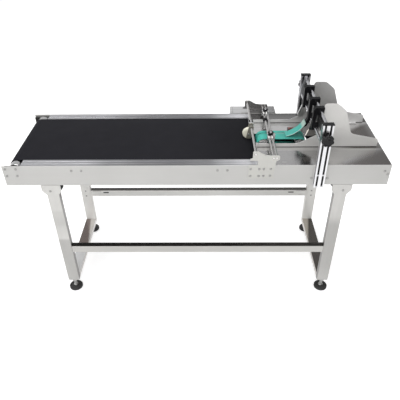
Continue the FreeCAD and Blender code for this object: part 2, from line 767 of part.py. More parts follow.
# ---------------------------------------------------------------- feeder
def make_cheek(label, y, flange_side):
    """Side wall of the hopper: a low wall that rises to a tall rounded ear and falls again."""
    body = new_body(label)
    sketch = sketch_on(body, "XZ", y)
    base = table_top
    draw_outline(sketch, [(cheek_start, base), (cheek_end, base),
                          (cheek_end, base + cheek_tail_height),
                          (hump_foot_x, base + hump_foot_height),
                          (hump_shoulder_x, base + hump_shoulder_height),
                          (hump_top_right, base + hump_top),
                          (hump_left_x, base + hump_top),
                          (hump_left_x, base + cheek_neck_height),
                          (cheek_mid_x, base + cheek_mid_height),
                          (cheek_rise_x, base + cheek_low_wall),
                          (cheek_start, base + cheek_low_wall)])
    pad(body, sketch, cheek_sheet)
    for across, up, radius in ((cheek_end, cheek_tail_height, cheek_end_round),
                               (hump_foot_x, hump_foot_height, cheek_foot_round),
                               (hump_shoulder_x, hump_shoulder_height, cheek_shoulder_round),
                               (hump_top_right, hump_top, cheek_top_round),
                               (hump_left_x, hump_top, cheek_end_round),
                               (hump_left_x, cheek_neck_height, cheek_mid_round),
                               (cheek_mid_x, cheek_mid_height, cheek_mid_round),
                               (cheek_rise_x, cheek_low_wall, cheek_rise_round)):
        round_edges(body, radius, edge_near(ALONG_Y, across, base + up))
    flange = sketch_on(body, "XY", base)
    low_y = y + cheek_sheet if flange_side > 0 else y - cheek_flange
    draw_box(flange, cheek_flange_start, low_y, cheek_flange_end, low_y + cheek_flange)
    pad(body, flange, cheek_sheet)
    return body


make_cheek("cheek_front", cheek_front_y, 1)
make_cheek("cheek_rear", cheek_rear_y, -1)

feed_z = table_top + feed_axis_z
for label, start, width in (("feed_belt_front", feed_front_y, feed_front_width),
                            ("feed_belt_rear", feed_rear_y, feed_rear_width)):
    loop = new_body(label)
    loop_sketch = sketch_on(loop, "XZ", start)
    draw_slot(loop_sketch, feed_left_x, feed_right_x, feed_z, feed_roller_radius + feed_belt_thickness)
    draw_slot(loop_sketch, feed_left_x, feed_right_x, feed_z, feed_roller_radius)
    pad(loop, loop_sketch, width)

feed_run = feed_roller_radius - seat_gap
cheeks_front = window_front - feed_frame_gap
cheeks_rear = window_rear + feed_frame_gap
feed_span = feed_rear_y + feed_rear_width
shaft_front = cheeks_front - feed_frame_sheet
shaft_rear = cheeks_rear + feed_frame_sheet
for label, x in (("feed_drive_roller", feed_left_x), ("feed_idler_roller", feed_right_x)):
    drum_front = feed_front_y - feed_side
    drum_rear = feed_span + feed_side
    gap_front = feed_front_y + feed_front_width + feed_waist_gap
    gap_rear = feed_rear_y - feed_waist_gap
    turned_piece(label, [(shaft_front, 0), (shaft_front, feed_shaft_radius),
                         (drum_front, feed_shaft_radius), (drum_front, feed_run),
                         (gap_front, feed_run), (gap_front, feed_run - feed_waist),
                         (gap_rear, feed_run - feed_waist), (gap_rear, feed_run),
                         (drum_rear, feed_run), (drum_rear, feed_shaft_radius),
                         (shaft_rear, feed_shaft_radius), (shaft_rear, 0)],
                 x, 0, feed_z, plane="YZ", axis="H_Axis")

# Feed frame: a tray under the deck whose two side plates carry the feed rollers' shafts.
tray = new_body("feed_frame")
tray_sketch = sketch_on(tray, "YZ", deck_start)
tray_top = table_top - deck_sheet
tray_low = tray_top - feed_frame_depth
draw_outline(tray_sketch, [(shaft_front, tray_low), (shaft_rear, tray_low), (shaft_rear, tray_top),
                           (cheeks_rear, tray_top), (cheeks_rear, tray_low + feed_frame_sheet),
                           (cheeks_front, tray_low + feed_frame_sheet), (cheeks_front, tray_top),
                           (shaft_front, tray_top)])
pad(tray, tray_sketch, window_right + feed_frame_reach - deck_start)
shaft_holes = sketch_on(tray, "XZ", shaft_front - cut_over)
draw_circle(shaft_holes, feed_left_x, feed_z, feed_shaft_radius + running_fit)
draw_circle(shaft_holes, feed_right_x, feed_z, feed_shaft_radius + running_fit)
cut(tray, shaft_holes, shaft_rear - shaft_front + cut_over * 2)

# Photo eye: a small sensor standing on the deck behind the feed belts.
eye = new_body("photo_eye")
eye_y = window_rear + slot_margin
eye_sketch = sketch_on(eye, "XY", table_top)
draw_box(eye_sketch, eye_x - eye_length / 2, eye_y, eye_x + eye_length / 2, eye_y + eye_width)
pad(eye, eye_sketch, eye_height)
lens_sketch = sketch_on(eye, "XY", table_top + eye_height)
draw_circle(lens_sketch, eye_x, eye_y + eye_width / 2, eye_lens)
pad(eye, lens_sketch, eye_lens_height)

# Ramp wedge: a ridged block behind the feed belts that carries the stack's lowest sheets; its
# nose stands over its foot.
ramp_left = window_right + ramp_gap
ramp_right = ramp_left + ramp_length
plate_piece("ramp_wedge", "XZ", ramp_low_y, ramp_width,
            [(ramp_left + ramp_toe, table_top), (ramp_right, table_top),
             (ramp_right, table_top + ramp_shoulder),
             (ramp_left + ramp_peak, table_top + ramp_height),
             (ramp_left, table_top + ramp_shoulder)])

# ---------------------------------------------------------------- exit brackets and rods
bracket_low = table_top - bracket_drop
bracket_left = exit_rod_x - bracket_margin
twin_level = table_top + twin_z
exit_level = table_top + exit_rod_z
notch_low = table_top + bracket_seat
notch_high = notch_low + bracket_notch
bracket_right = twin_right_x + bracket_rim
throat = notch_high + bracket_throat
waist_height = twin_level - bracket_rim * 1.25
bracket_outline = [(bracket_left, bracket_low), (twin_left_x + bracket_step, bracket_low),
                   (twin_right_x - bracket_step, notch_low), (twin_right_x - bracket_waist, waist_height),
                   (bracket_right, twin_level - rod_radius), (bracket_right, twin_level + bracket_rim),
                   (twin_left_x - bracket_rim, twin_level + bracket_rim),
                   (twin_left_x - bracket_rim * 3, exit_level - rod_radius),
                   (exit_rod_x + bracket_rim, exit_level + bracket_rim),
                   (exit_rod_x - bracket_rim, exit_level + bracket_rim),
                   (exit_rod_x - bracket_rim, throat),
                   (bracket_left + bracket_tab, notch_high + bracket_tab_high),
                   (bracket_left + bracket_tab, notch_high + bracket_tab_low),
                   (exit_rod_x + bracket_rim, notch_high - bracket_tab_low),
                   (exit_rod_x + bracket_rim, notch_low), (bracket_left, notch_low)]
rod_holes = [(exit_rod_x, exit_level, rod_radius + running_fit),
             (twin_left_x, twin_level, rod_radius + running_fit),
             (twin_right_x, twin_level, rod_radius + running_fit)]
for face_name, face in (("front", -1), ("rear", 1)):
    low_y = (half_width + bracket_sheet) * face if face < 0 else half_width
    bracket = plate_piece("bracket_%s" % face_name, "XZ", low_y, bracket_sheet,
                          bracket_outline, rod_holes)
    for across, up, radius in ((bracket_right, twin_level + bracket_rim, bracket_throat_round),
                               (exit_rod_x - bracket_rim, exit_level + bracket_rim, bracket_top_round),
                               (exit_rod_x + bracket_rim, exit_level + bracket_rim, bracket_top_round),
                               (bracket_left, notch_low, bracket_foot_round),
                               (twin_right_x - bracket_waist, waist_height, bracket_throat_round)):
        round_edges(bracket, radius, edge_near(ALONG_Y, across, up))

rod_half = half_width + bracket_sheet
for label, x, z in (("exit_rod", exit_rod_x, exit_rod_z), ("cross_rod_left", twin_left_x, twin_z),
                    ("cross_rod_right", twin_right_x, twin_z)):
    rod = new_body(label)
    rod_sketch = sketch_on(rod, "XZ", -rod_half)
    draw_circle(rod_sketch, x, table_top + z, rod_radius)
    pad(rod, rod_sketch, rod_half * 2)

# Press arm: a fork on the exit rod, with a plate on each side of the wheel, a pin through both and a
# clamp block behind.
wheel_z = table_top + wheel_radius + wheel_gap
fork_front = wheel_y - wheel_width / 2 - seat_gap - arm_sheet
fork_rear = wheel_y + wheel_width / 2 + seat_gap
arm_low = table_top + arm_foot_height
arm_right = wheel_x + arm_foot_right + arm_side
arm_outline = [(wheel_x - arm_foot_left, arm_low), (wheel_x + arm_foot_right, arm_low),
               (arm_right, wheel_z), (exit_rod_x + arm_rim, exit_level),
               (exit_rod_x + arm_rim, exit_level + arm_rim),
               (exit_rod_x - arm_rim, exit_level + arm_rim),
               (exit_rod_x - arm_rim - arm_bow, exit_level),
               (wheel_x - arm_foot_left / 3, wheel_z + wheel_radius / 2),
               (wheel_x - arm_foot_left + arm_bow, wheel_z)]
arm = new_body("press_arm")
for plate_y in (fork_front, fork_rear):
    arm_sketch = sketch_on(arm, "XZ", plate_y)
    draw_outline(arm_sketch, arm_outline)
    draw_circle(arm_sketch, exit_rod_x, exit_level, rod_radius + running_fit)
    pad(arm, arm_sketch, arm_sheet)
    if plate_y is fork_front:
        pin_sketch = sketch_on(arm, "XZ", fork_front - wheel_pin_head)
        draw_circle(pin_sketch, wheel_x, wheel_z, wheel_pin_radius)
        pad(arm, pin_sketch, fork_rear + arm_sheet - fork_front + wheel_pin_head)
clamp_sketch = sketch_on(arm, "XZ", fork_rear + arm_sheet)
draw_box(clamp_sketch, exit_rod_x - arm_clamp_side, exit_level - arm_clamp_low,
         exit_rod_x + arm_clamp_side, exit_level + arm_clamp_high)
draw_circle(clamp_sketch, exit_rod_x, exit_level, rod_radius + running_fit)
pad(arm, clamp_sketch, arm_clamp_width)

wheel_bore = wheel_pin_radius + running_fit
turned_piece("press_wheel", [(-(wheel_width / 2), wheel_bore),
                             (-(wheel_width / 2), wheel_radius - wheel_chamfer),
                             (-(wheel_width / 2) + wheel_chamfer, wheel_radius),
                             (wheel_width / 2 - wheel_chamfer, wheel_radius),
                             (wheel_width / 2, wheel_radius - wheel_chamfer),
                             (wheel_width / 2, wheel_bore)],
             wheel_x, wheel_y, wheel_z, plane="YZ", axis="H_Axis")


def make_rod_block(label, y, length):
    """Clamp block that slides on the twin rods, centred on y."""
    body = new_body(label)
    sketch = sketch_on(body, "XZ", y - length / 2)
    left = twin_left_x - separator_margin
    right = twin_right_x + separator_margin
    draw_box(sketch, left, table_top + twin_z - separator_height / 2,
             right, table_top + twin_z + separator_height / 2)
    draw_circle(sketch, twin_left_x, table_top + twin_z, rod_radius + running_fit)
    draw_circle(sketch, twin_right_x, table_top + twin_z, rod_radius + running_fit)
    pad(body, sketch, length)
    return body


def make_thumb_knob(label, x, y, z):
    """Knurled thumb knob with a short stem, standing on z."""
    low = thumb_stem_height
    top = low + thumb_height
    dish = top - thumb_dish_depth
    return turned_piece(label, [(0, 0), (thumb_stem, 0), (thumb_stem, low), (thumb_radius - thumb_edge, low),
                                (thumb_radius, low + thumb_edge), (thumb_radius, top - thumb_edge),
                                (thumb_radius - thumb_edge, top), (thumb_dish, top),
                                (thumb_dish, dish), (0, dish)], x, y, z)


twin_mid = (twin_left_x + twin_right_x) / 2
block_top = table_top + twin_z + separator_height / 2
separator = make_rod_block("separator_block", separator_y, separator_length)
make_thumb_knob("separator_knob", twin_mid, separator_y, block_top)
make_rod_block("rod_block", rod_block_y, rod_block_length)
make_thumb_knob("rod_block_knob", twin_mid, rod_block_y, block_top)

# Separator blade: a stem that slides up the block's right face and a foot that turns in below the
# block and reaches over the front feed belt.
blade = new_body("separator_blade")
belt_crest = feed_z + feed_roller_radius + feed_belt_thickness
blade_low = belt_crest + blade_lift
stem_left = twin_right_x + separator_margin + running_fit
stem_front = separator_y - blade_width / 2
stem_sketch = sketch_on(blade, "XY", blade_low)
draw_box(stem_sketch, stem_left, stem_front, stem_left + blade_sheet, stem_front + blade_width)
pad(blade, stem_sketch, block_top - blade_low)
blade_foot_sketch = sketch_on(blade, "XY", blade_low)
draw_box(blade_foot_sketch, blade_foot_x, stem_front, stem_left + blade_sheet, stem_front + blade_reach)
pad(blade, blade_foot_sketch, blade_foot)

# ---------------------------------------------------------------- posts and gate
def post_profile(low_y):
    """Outline of the 20 by 40 extrusion: two T slots in each wide face, one in each narrow face."""
    left = post_x - post_width / 2
    right = post_x + post_width / 2
    high_y = low_y + post_depth
    half = post_slot / 2
    core = post_slot_core / 2
    points = [(left, low_y)]
    for middle in (left + post_width / 4, right - post_width / 4):
        points += [(middle - half, low_y), (middle - half, low_y + post_lip),
                   (middle - core, low_y + post_lip), (middle - half, low_y + post_slot_depth),
                   (middle + half, low_y + post_slot_depth), (middle + core, low_y + post_lip),
                   (middle + half, low_y + post_lip), (middle + half, low_y)]
    points += [(right, low_y)]
    centre = low_y + post_depth / 2
    points += [(right, centre - half), (right - post_lip, centre - half), (right - post_lip, centre + half),
               (right, centre + half), (right, high_y)]
    for middle in (right - post_width / 4, left + post_width / 4):
        points += [(middle + half, high_y), (middle + half, high_y - post_lip),
                   (middle + core, high_y - post_lip), (middle + half, high_y - post_slot_depth),
                   (middle - half, high_y - post_slot_depth), (middle - core, high_y - post_lip),
                   (middle - half, high_y - post_lip), (middle - half, high_y)]
    points += [(left, high_y), (left, centre + half), (left + post_lip, centre + half),
               (left + post_lip, centre - half), (left, centre - half)]
    return points


for face_name, face in (("front", -1), ("rear", 1)):
    post = new_body("post_%s" % face_name)
    low_y = (half_width + post_depth) * face if face < 0 else half_width
    post_sketch = sketch_on(post, "XY", table_top + post_bottom)
    draw_outline(post_sketch, post_profile(low_y))
    pad(post, post_sketch, post_top - post_bottom)
    # Slot through the middle rib in which the clamping stud rides.
    stud_slot = sketch_on(post, "XZ", low_y - cut_over)
    slot_half = knob_stud + stud_slot_side
    slot_low = table_top + knob_z - knob_stud - stud_slot_end
    slot_high = table_top + knob_z + gate_travel + knob_stud + stud_slot_end
    draw_box(stud_slot, post_x - slot_half, slot_low, post_x + slot_half, slot_high)
    cut(post, stud_slot, post_depth + cut_over * 2)

# End caps of both posts: one identical moulding each.
caps = []
for face_name, face in (("front", -1), ("rear", 1)):
    low_y = (half_width + post_depth) * face if face < 0 else half_width
    cap = doc.addObject("Part::Box", "cap_%s" % face_name)
    cap.Label = "cap_blank_%s" % face_name
    bind(cap, "Length", post_width + cap_overhang * 2)
    bind(cap, "Width", post_depth + cap_overhang)
    bind(cap, "Height", cap_height)
    place(cap, post_x - post_width / 2 - cap_overhang,
          low_y - cap_overhang if face < 0 else low_y, table_top + post_top)
    rounded = doc.addObject("Part::Fillet", "cap_round_%s" % face_name)
    rounded.Label = "cap_moulding_%s" % face_name
    doc.recompute()
    rounded.Base = cap
    rounded.Edges = [(i + 1, 1.2, 1.2) for i, edge in enumerate(cap.Shape.Edges)
                     if min(v.Point.z for v in edge.Vertexes) > (table_top + post_top).value + 1]
    caps.append(rounded)
post_caps = doc.addObject("Part::Compound", "post_caps")
post_caps.Label = "post_caps"
post_caps.Links = caps

# Gate crossbar: a bar between the posts with an end plate at each end that holds the two rods.
bar_half = half_width - seat_gap
crossbar = new_body("gate_crossbar")
bar_sketch = sketch_on(crossbar, "XZ", -bar_half)
bar_left = post_x - bar_width / 2
bar_right = post_x + bar_width / 2
bar_low = table_top + bar_z - bar_height / 2
draw_box(bar_sketch, bar_left, bar_low, bar_right, bar_low + bar_height)
pad(crossbar, bar_sketch, bar_half * 2)
rim = end_plate_rim
for low_y in (-bar_half, bar_half - end_plate_sheet):
    end_sketch = sketch_on(crossbar, "XZ", low_y)
    draw_outline(end_sketch, [(lower_rod_x - rim, table_top + lower_rod_z - rim),
                              (lower_rod_x + rim, table_top + lower_rod_z - rim),
                              (post_x + rim, table_top + knob_z - rim),
                              (upper_rod_x + rim, table_top + upper_rod_z - rim),
                              (upper_rod_x + rim, table_top + upper_rod_z + rim),
                              (upper_rod_x - rim, table_top + upper_rod_z + rim),
                              (lower_rod_x - rim, table_top + lower_rod_z + rim)])
    pad(crossbar, end_sketch, end_plate_sheet)
rod_bores = sketch_on(crossbar, "XZ", -bar_half - cut_over)
draw_circle(rod_bores, upper_rod_x, table_top + upper_rod_z, gate_rod_radius + running_fit)
draw_circle(rod_bores, lower_rod_x, table_top + lower_rod_z, gate_rod_radius + running_fit)
cut(crossbar, rod_bores, bar_half * 2 + cut_over * 2)
for low_y in (-bar_half - cut_over, bar_half - knob_hole):
    tapped = sketch_on(crossbar, "XZ", low_y)
    draw_circle(tapped, post_x, table_top + knob_z, knob_stud + running_fit)
    cut(crossbar, tapped, knob_hole + cut_over)

for label, x, z in (("guide_rod_upper", upper_rod_x, upper_rod_z),
                    ("guide_rod_lower", lower_rod_x, lower_rod_z)):
    rod = new_body(label)
    rod_sketch = sketch_on(rod, "XZ", -bar_half)
    draw_circle(rod_sketch, x, table_top + z, gate_rod_radius)
    pad(rod, rod_sketch, bar_half * 2)


def hanger_outline():
    """A hook over the crossbar: round the upper rod, down in front of the bar, round the lower rod."""
    right = upper_rod_x + gate_rod_radius + hanger_rim
    low_right = lower_rod_x + gate_rod_radius + hanger_rim
    top = table_top + upper_rod_z + gate_rod_radius + hanger_rim
    over = table_top + bar_z + bar_height / 2 + hanger_gap
    under = table_top + lower_rod_z + gate_rod_radius + hanger_low_rim
    low = table_top + lower_rod_z - gate_rod_radius - hanger_low_rim
    return [(hanger_left, low), (low_right, low), (low_right, under), (hanger_left + hanger_wall, under),
            (hanger_left + hanger_wall, over), (right, over), (right, top),
            (hanger_left + hanger_rim, top), (hanger_left, top - hanger_rim)]


def start_hanger(label, y, width):
    body = new_body(label)
    sketch = sketch_on(body, "XZ", y - width / 2)
    draw_outline(sketch, hanger_outline())
    draw_circle(sketch, upper_rod_x, table_top + upper_rod_z, gate_rod_radius + running_fit)
    draw_circle(sketch, lower_rod_x, table_top + lower_rod_z, gate_rod_radius + running_fit)
    pad(body, sketch, width)
    return body


hanger_low = table_top + lower_rod_z - gate_rod_radius - hanger_low_rim
guide_left = hanger_left - guide_toe
guide_right = hanger_left + guide_heel
front_guide_low = cheek_front_y + cheek_sheet + guide_play
rear_guide_low = cheek_rear_y - guide_play - guide_sheet
for label, y, low_y in (("side_guide_front", guide_front_y, front_guide_low),
                        ("side_guide_rear", guide_rear_y, rear_guide_low)):
    guide = start_hanger(label, y, hanger_width)
    foot_plate = sketch_on(guide, "XZ", low_y)
    draw_outline(foot_plate, [(guide_left, table_top + guide_toe_height),
                              (hanger_left - guide_neck, table_top + guide_bottom),
                              (guide_right, table_top + guide_heel_height),
                              (guide_right, hanger_low + guide_neck),
                              (hanger_left, hanger_low + guide_neck)])
    pad(guide, foot_plate, guide_sheet)

# Entry guide: a rubber-faced strip that curves up from the feed belts towards the gate, on a shoe
# that hangs from its own hook.  The strip's section is an arc of entry_radius, drawn as short chords.
entry = start_hanger("entry_guide", entry_y, hanger_width)
strip_low = belt_crest + entry_gap
CHORDS = 10
START_ANGLE = 12.0
END_ANGLE = 64.0


def entry_point(angle, inward):
    """A point of the strip's arc; `inward` moves it towards the arc's centre."""
    turned = math.radians(angle)
    start = math.radians(START_ANGLE)
    radius = entry_radius - inward
    across = entry_start_x - entry_radius * math.sin(start) + radius * math.sin(turned)
    up = strip_low + entry_radius * math.cos(start) - radius * math.cos(turned)
    return across, up


angles = [START_ANGLE + (END_ANGLE - START_ANGLE) * i / CHORDS for i in range(CHORDS + 1)]
under_side = [entry_point(angle, 0) for angle in angles]
upper_side = [entry_point(angle, entry_sheet) for angle in angles]
strip = new_body("entry_strip")
entry_sketch = sketch_on(strip, "XZ", entry_centre - entry_width / 2)
draw_outline(entry_sketch, under_side + upper_side[::-1])
pad(strip, entry_sketch, entry_width)

SHOE_FIRST = 4
shoe_top = under_side[SHOE_FIRST:]
tip_x, tip_z = shoe_top[0]
end_x, end_z = shoe_top[-1]
shoe_sketch = sketch_on(entry, "XZ", entry_y - hanger_width / 2)
draw_outline(shoe_sketch, shoe_top + [(hanger_left, hanger_low + shoe_depth),
                                      (hanger_left + hanger_wall, hanger_low + shoe_depth),
                                      (hanger_left, end_z - entry_sheet * 6),
                                      (end_x - shoe_depth, end_z - entry_sheet * 8),
                                      (tip_x + shoe_depth * 3, tip_z - entry_sheet)])
pad(entry, shoe_sketch, hanger_width)


LOBES = 7


def make_star_knob(label, face):
    """Star knob with seven lobes on the outside of a post; its stud reaches into the crossbar."""
    body = new_body(label)
    seat = half_width + post_depth
    reach_in = seat - bar_half + knob_reach
    sketch = sketch_on(body, "YZ")
    draw_outline(sketch, [(-reach_in, 0), (-reach_in, knob_stud), (seat_gap, knob_stud),
                          (seat_gap, knob_hub), (knob_hub_length, knob_hub),
                          (knob_hub_length, knob_radius - knob_lobe),
                          (knob_hub_length + knob_thickness - knob_chamfer, knob_radius - knob_lobe),
                          (knob_hub_length + knob_thickness, knob_radius - knob_lobe - knob_chamfer),
                          (knob_hub_length + knob_thickness, 0)])
    turn(body, sketch, "H_Axis")
    for lobe in range(LOBES):
        angle = math.radians(90 + 360.0 * lobe / LOBES)
        spot = sketch_on(body, "XZ", knob_hub_length)
        distance = knob_radius - knob_lobe
        draw_circle(spot, distance * math.cos(angle), distance * math.sin(angle), knob_lobe)
        pad(body, spot, knob_thickness - knob_chamfer)
    spin = Rotation(Vector(0, 0, 1), 180 if face < 0 else 0)
    body.Placement = Placement(Vector(post_x.value, seat.value * face, (table_top + knob_z).value), spin)
    place(body, post_x, seat * face, table_top + knob_z)
    return body


make_star_knob("star_knob_front", -1)
make_star_knob("star_knob_rear", 1)

# ---------------------------------------------------------------- electrics and fasteners
case = new_body("control_box")
case_sketch = sketch_on(case, "XY", table_top + box_top - box_height)
case_face = half_width + bracket_sheet
draw_box(case_sketch, box_start, case_face, box_start + box_length, case_face + box_depth)
pad(case, case_sketch, box_height)
round_edges(case, box_corner, lambda edge: straight_along(edge, ALONG_Z)
            and edge.Vertexes[0].Point.y > case_face.value + TOL)
case_low = table_top + box_top - box_height
case_middle = case_face + box_depth / 2
inlet_left = box_start + inlet_offset
inlet = sketch_on(case, "XY", case_low)
draw_box(inlet, inlet_left, case_middle - inlet_width / 2,
         inlet_left + inlet_length, case_middle + inlet_width / 2)
cut(case, inlet, inlet_depth)
# Screw heads on the outer faces: those of the take-up blocks, the bed, the drum mounts, the posts'
# fixing, the deck, the leg brackets and the rod brackets.
upper_row = -bolt_margin
lower_row = upper_row - bolt_pitch
leg_row = -(panel_height + seat_gap + bolt_margin * 2)
block_bolts = [(block_left + bolt_edge, upper_row), (block_left + bolt_edge, lower_row),
               (block_right - block_bolt_inset, upper_row), (block_right - block_bolt_inset, lower_row)]
bed_bolts = [(bed_start + bed_bolt_inset * 2, upper_row - bolt_edge),
             (bed_start + bed_bolt_inset * 2 + bed_bolt_gap, upper_row - bolt_edge),
             (bed_end - bed_bolt_inset, upper_row - bolt_edge),
             (bed_end - bed_bolt_inset + bed_bolt_gap, upper_row - bolt_edge)]
post_bolts = [(post_x - post_width / 2 - bolt_edge, post_bottom + bolt_pitch),
              (post_x + post_width / 2 + bolt_margin, post_bottom + bolt_pitch)]
deck_bolts = [(deck_right - bolt_margin - bolt_edge, -bolt_margin * 2), (deck_right - bolt_edge, -bolt_margin * 3)]
leg_bolts = [(-(leg_x + bolt_edge), leg_row), (leg_x + bolt_edge, leg_row)]
bracket_bolts = []
for x in (bracket_left + bolt_edge, twin_left_x - bracket_bolt_far, twin_left_x - bracket_bolt_near,
          twin_left_x - bolt_edge):
    bracket_bolts += [(x, upper_row), (x, lower_row)]
heads = []
for face in (-1, 1):
    groups = [(block_bolts, 0), (bed_bolts, 0), (post_bolts, 0), (deck_bolts, 0), (leg_bolts, 0)]
    if face < 0:
        groups += [(bracket_bolts, bracket_sheet)]
    for spots, stand_off in groups:
        for x, z in spots:
            head = doc.addObject("Part::Cylinder", "bolt_head")
            bind(head, "Radius", bolt_head_radius)
            bind(head, "Height", bolt_head_height)
            head.Placement = Placement(Vector(0, 0, 0), Rotation(ALONG_X, -90 * face))
            place(head, x, (half_width + stand_off) * face, table_top + z)
            heads.append(head)
bolts = doc.addObject("Part::Compound", "panel_bolts")
bolts.Label = "panel_bolts"
bolts.Links = heads

# ---------------------------------------------------------------- check and write
doc.recompute()
pieces = []
for candidate in doc.Objects:
    if candidate.TypeId == "PartDesign::Body" or candidate.Name in ("post_caps", "panel_bolts"):
        pieces.append(candidate)
for candidate in doc.Objects:
    if "Invalid" in candidate.State or "Error" in candidate.State:
        raise RuntimeError("%s failed: %s" % (candidate.Label, candidate.State))
for piece in pieces:
    if piece.Shape.isNull() or not piece.Shape.isValid():
        raise RuntimeError("%s has no valid shape" % piece.Label)
for piece in pieces:
    piece.Shape.exportStep("parts/%s.step" % piece.Label)
    box = piece.Shape.BoundBox
    print("%-20s solids %3d  x %8.1f %8.1f  y %8.1f %8.1f  z %7.1f %7.1f"
          % (piece.Label, len(piece.Shape.Solids), box.XMin, box.XMax, box.YMin, box.YMax,
             box.ZMin, box.ZMax))
print("pieces", len(pieces))
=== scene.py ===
import functools
import json
import math

import bmesh
import bpy
import numpy as np
from mathutils import Matrix, Vector


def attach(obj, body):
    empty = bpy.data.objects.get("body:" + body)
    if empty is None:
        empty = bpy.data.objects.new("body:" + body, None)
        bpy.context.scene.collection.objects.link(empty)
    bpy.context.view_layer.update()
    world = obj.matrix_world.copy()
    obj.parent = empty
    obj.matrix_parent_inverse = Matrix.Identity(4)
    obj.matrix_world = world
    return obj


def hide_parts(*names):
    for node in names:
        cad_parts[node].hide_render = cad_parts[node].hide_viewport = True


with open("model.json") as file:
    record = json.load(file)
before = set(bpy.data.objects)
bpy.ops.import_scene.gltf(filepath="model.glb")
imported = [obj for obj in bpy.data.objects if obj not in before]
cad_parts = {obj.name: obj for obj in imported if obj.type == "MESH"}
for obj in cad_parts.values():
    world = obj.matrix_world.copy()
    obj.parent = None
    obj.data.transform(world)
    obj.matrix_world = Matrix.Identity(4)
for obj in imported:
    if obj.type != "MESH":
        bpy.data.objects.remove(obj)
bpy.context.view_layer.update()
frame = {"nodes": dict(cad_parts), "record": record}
TAU = 2.0 * math.pi

WHITE = (1.0, 1.0, 1.0)
CAMERA_PLACE = (0.0415, -1.7220, 1.6329)
FLOOR_Z = -0.0005
FLOOR_REACH = 14.0
FLOOR_GLOW = 0.42
FLOOR_GLOW_SEEN = 0.13
EVEN_LIGHT = 0.55
ROOM_MIDDLE = ((0.18, 0.78), (0.42, 0.66), (0.62, 0.58), (0.80, 0.60))
ROOM_TONES = [(0.0, 0.86), *((place, (level, level, level * 1.01)) for place, level in ROOM_MIDDLE),
              (0.98, (0.75, 0.75, 0.76))]
ROOM_SIDE = (0.24, 0.42, 1.0, 0.50)

LEG_X, LEG_Y = 0.575, 0.21
PANEL_FACE, BRACKET_FACE = 0.2225, 0.2265
TAIL_X, DRUM_X, BELT_AXIS_Z = -0.706, 0.212, 0.650
FEED_LEFT_X, FEED_RIGHT_X, FEED_AXIS_Z = 0.278, 0.428, 0.668
TWIN_LEFT_X, TWIN_RIGHT_X, TWIN_Z = 0.296, 0.309, 0.714
EXIT_ROD_X, EXIT_ROD_Z = 0.2275, 0.732
WHEEL_X, WHEEL_Z = 0.216, 0.7044
THUMB_X, THUMB_Z = 0.3025, 0.724
POST_X, POST_FACE, STAR_Z = 0.478, 0.2425, 0.806


# ------------ camera
def set_camera():
    """Looks down at the table from the operator's side, nearly square to its long edge."""
    data = bpy.data.cameras.new("operator_view")
    data.sensor_width = 36.0
    data.lens = 41.65
    data.clip_end = 50.0
    camera = bpy.data.objects.new("operator_view", data)
    bpy.context.scene.collection.objects.link(camera)
    right = Vector((0.9999, 0.00967, -0.01022)).normalized()
    ahead = Vector((-0.01386, 0.80197, -0.59720)).normalized()
    up = right.cross(ahead).normalized()
    turn = Matrix((right, up, -ahead)).transposed()
    camera.matrix_world = Matrix.Translation(CAMERA_PLACE) @ turn.to_4x4()
    bpy.context.scene.camera = camera


# ------------ shader node helpers
def feed(tree, socket, value):
    """Sets a socket to a number, vector or colour, or links another socket to it."""
    if isinstance(value, (int, float)):
        socket.default_value = value
    elif isinstance(value, tuple):
        socket.default_value = (*value, 1.0)[:len(socket.default_value)]
    else:
        tree.links.new(value, socket)


def add_node(tree, kind, values=(), **settings):
    """A shader node with its settings made first and then its inputs, by label or place."""
    node = tree.nodes.new("ShaderNode" + kind)
    for name, value in settings.items():
        setattr(node, name, value)
    for label, value in dict(values).items():
        feed(tree, node.inputs[label], value)
    return node


def maths(tree, operation, *operands):
    """A Math node; each operand is a number or a socket."""
    return add_node(tree, "Math", enumerate(operands), operation=operation).outputs[0]


def noise(tree, vector, scale, detail, rough):
    """The value of a Noise Texture."""
    values = {"Scale": scale, "Detail": detail, "Roughness": rough, "Vector": vector}
    return add_node(tree, "TexNoise", values).outputs["Fac"]


def ramp(tree, value, stops):
    """Maps a value through (position, grey or colour) stops with soft steps."""
    node = add_node(tree, "ValToRGB", {"Fac": value})
    node.color_ramp.interpolation = "EASE"
    elements = node.color_ramp.elements
    while len(elements) < len(stops):
        elements.new(0.5)
    for element, (place, tone) in zip(elements, stops):
        element.position = place
        element.color = (*(tone if isinstance(tone, tuple) else (tone, tone, tone)), 1.0)
    return node.outputs["Color"]


def blend_colour(tree, factor, low, high, mode="MIX"):
    """Mixes two colours by a factor."""
    return add_node(tree, "Mix", {"Factor": factor, "A": low, "B": high}, data_type="RGBA",
                    blend_type=mode, clamp_factor=True).outputs["Result"]


def stretched(tree, vector, scale):
    """A vector multiplied part by part."""
    return add_node(tree, "VectorMath", {0: vector, 1: scale}, operation="MULTIPLY").outputs[0]


def map_range(tree, value, low, high, to_low=0.0, to_high=1.0, kind="LINEAR"):
    """Runs a value from one range to another and holds it there."""
    values = {"Value": value, "From Min": low, "From Max": high, "To Min": to_low, "To Max": to_high}
    return add_node(tree, "MapRange", values, clamp=True, interpolation_type=kind).outputs["Result"]


def axes_of(tree, vector):
    """The outputs X, Y and Z of a vector."""
    return add_node(tree, "SeparateXYZ", {0: vector}).outputs


def object_position(tree):
    """Where a point is in the frame of its piece."""
    return add_node(tree, "TexCoord").outputs["Object"]


def emptied(owner):
    """The node tree of a material or world, with nothing in it."""
    owner.use_nodes = True
    owner.node_tree.nodes.clear()
    return owner.node_tree


def new_material(name):
    """An empty material with a Principled BSDF wired to its output."""
    mat = bpy.data.materials.new(name)
    tree = emptied(mat)
    shader = add_node(tree, "BsdfPrincipled")
    add_node(tree, "OutputMaterial", {"Surface": shader.outputs["BSDF"]})
    return mat, shader


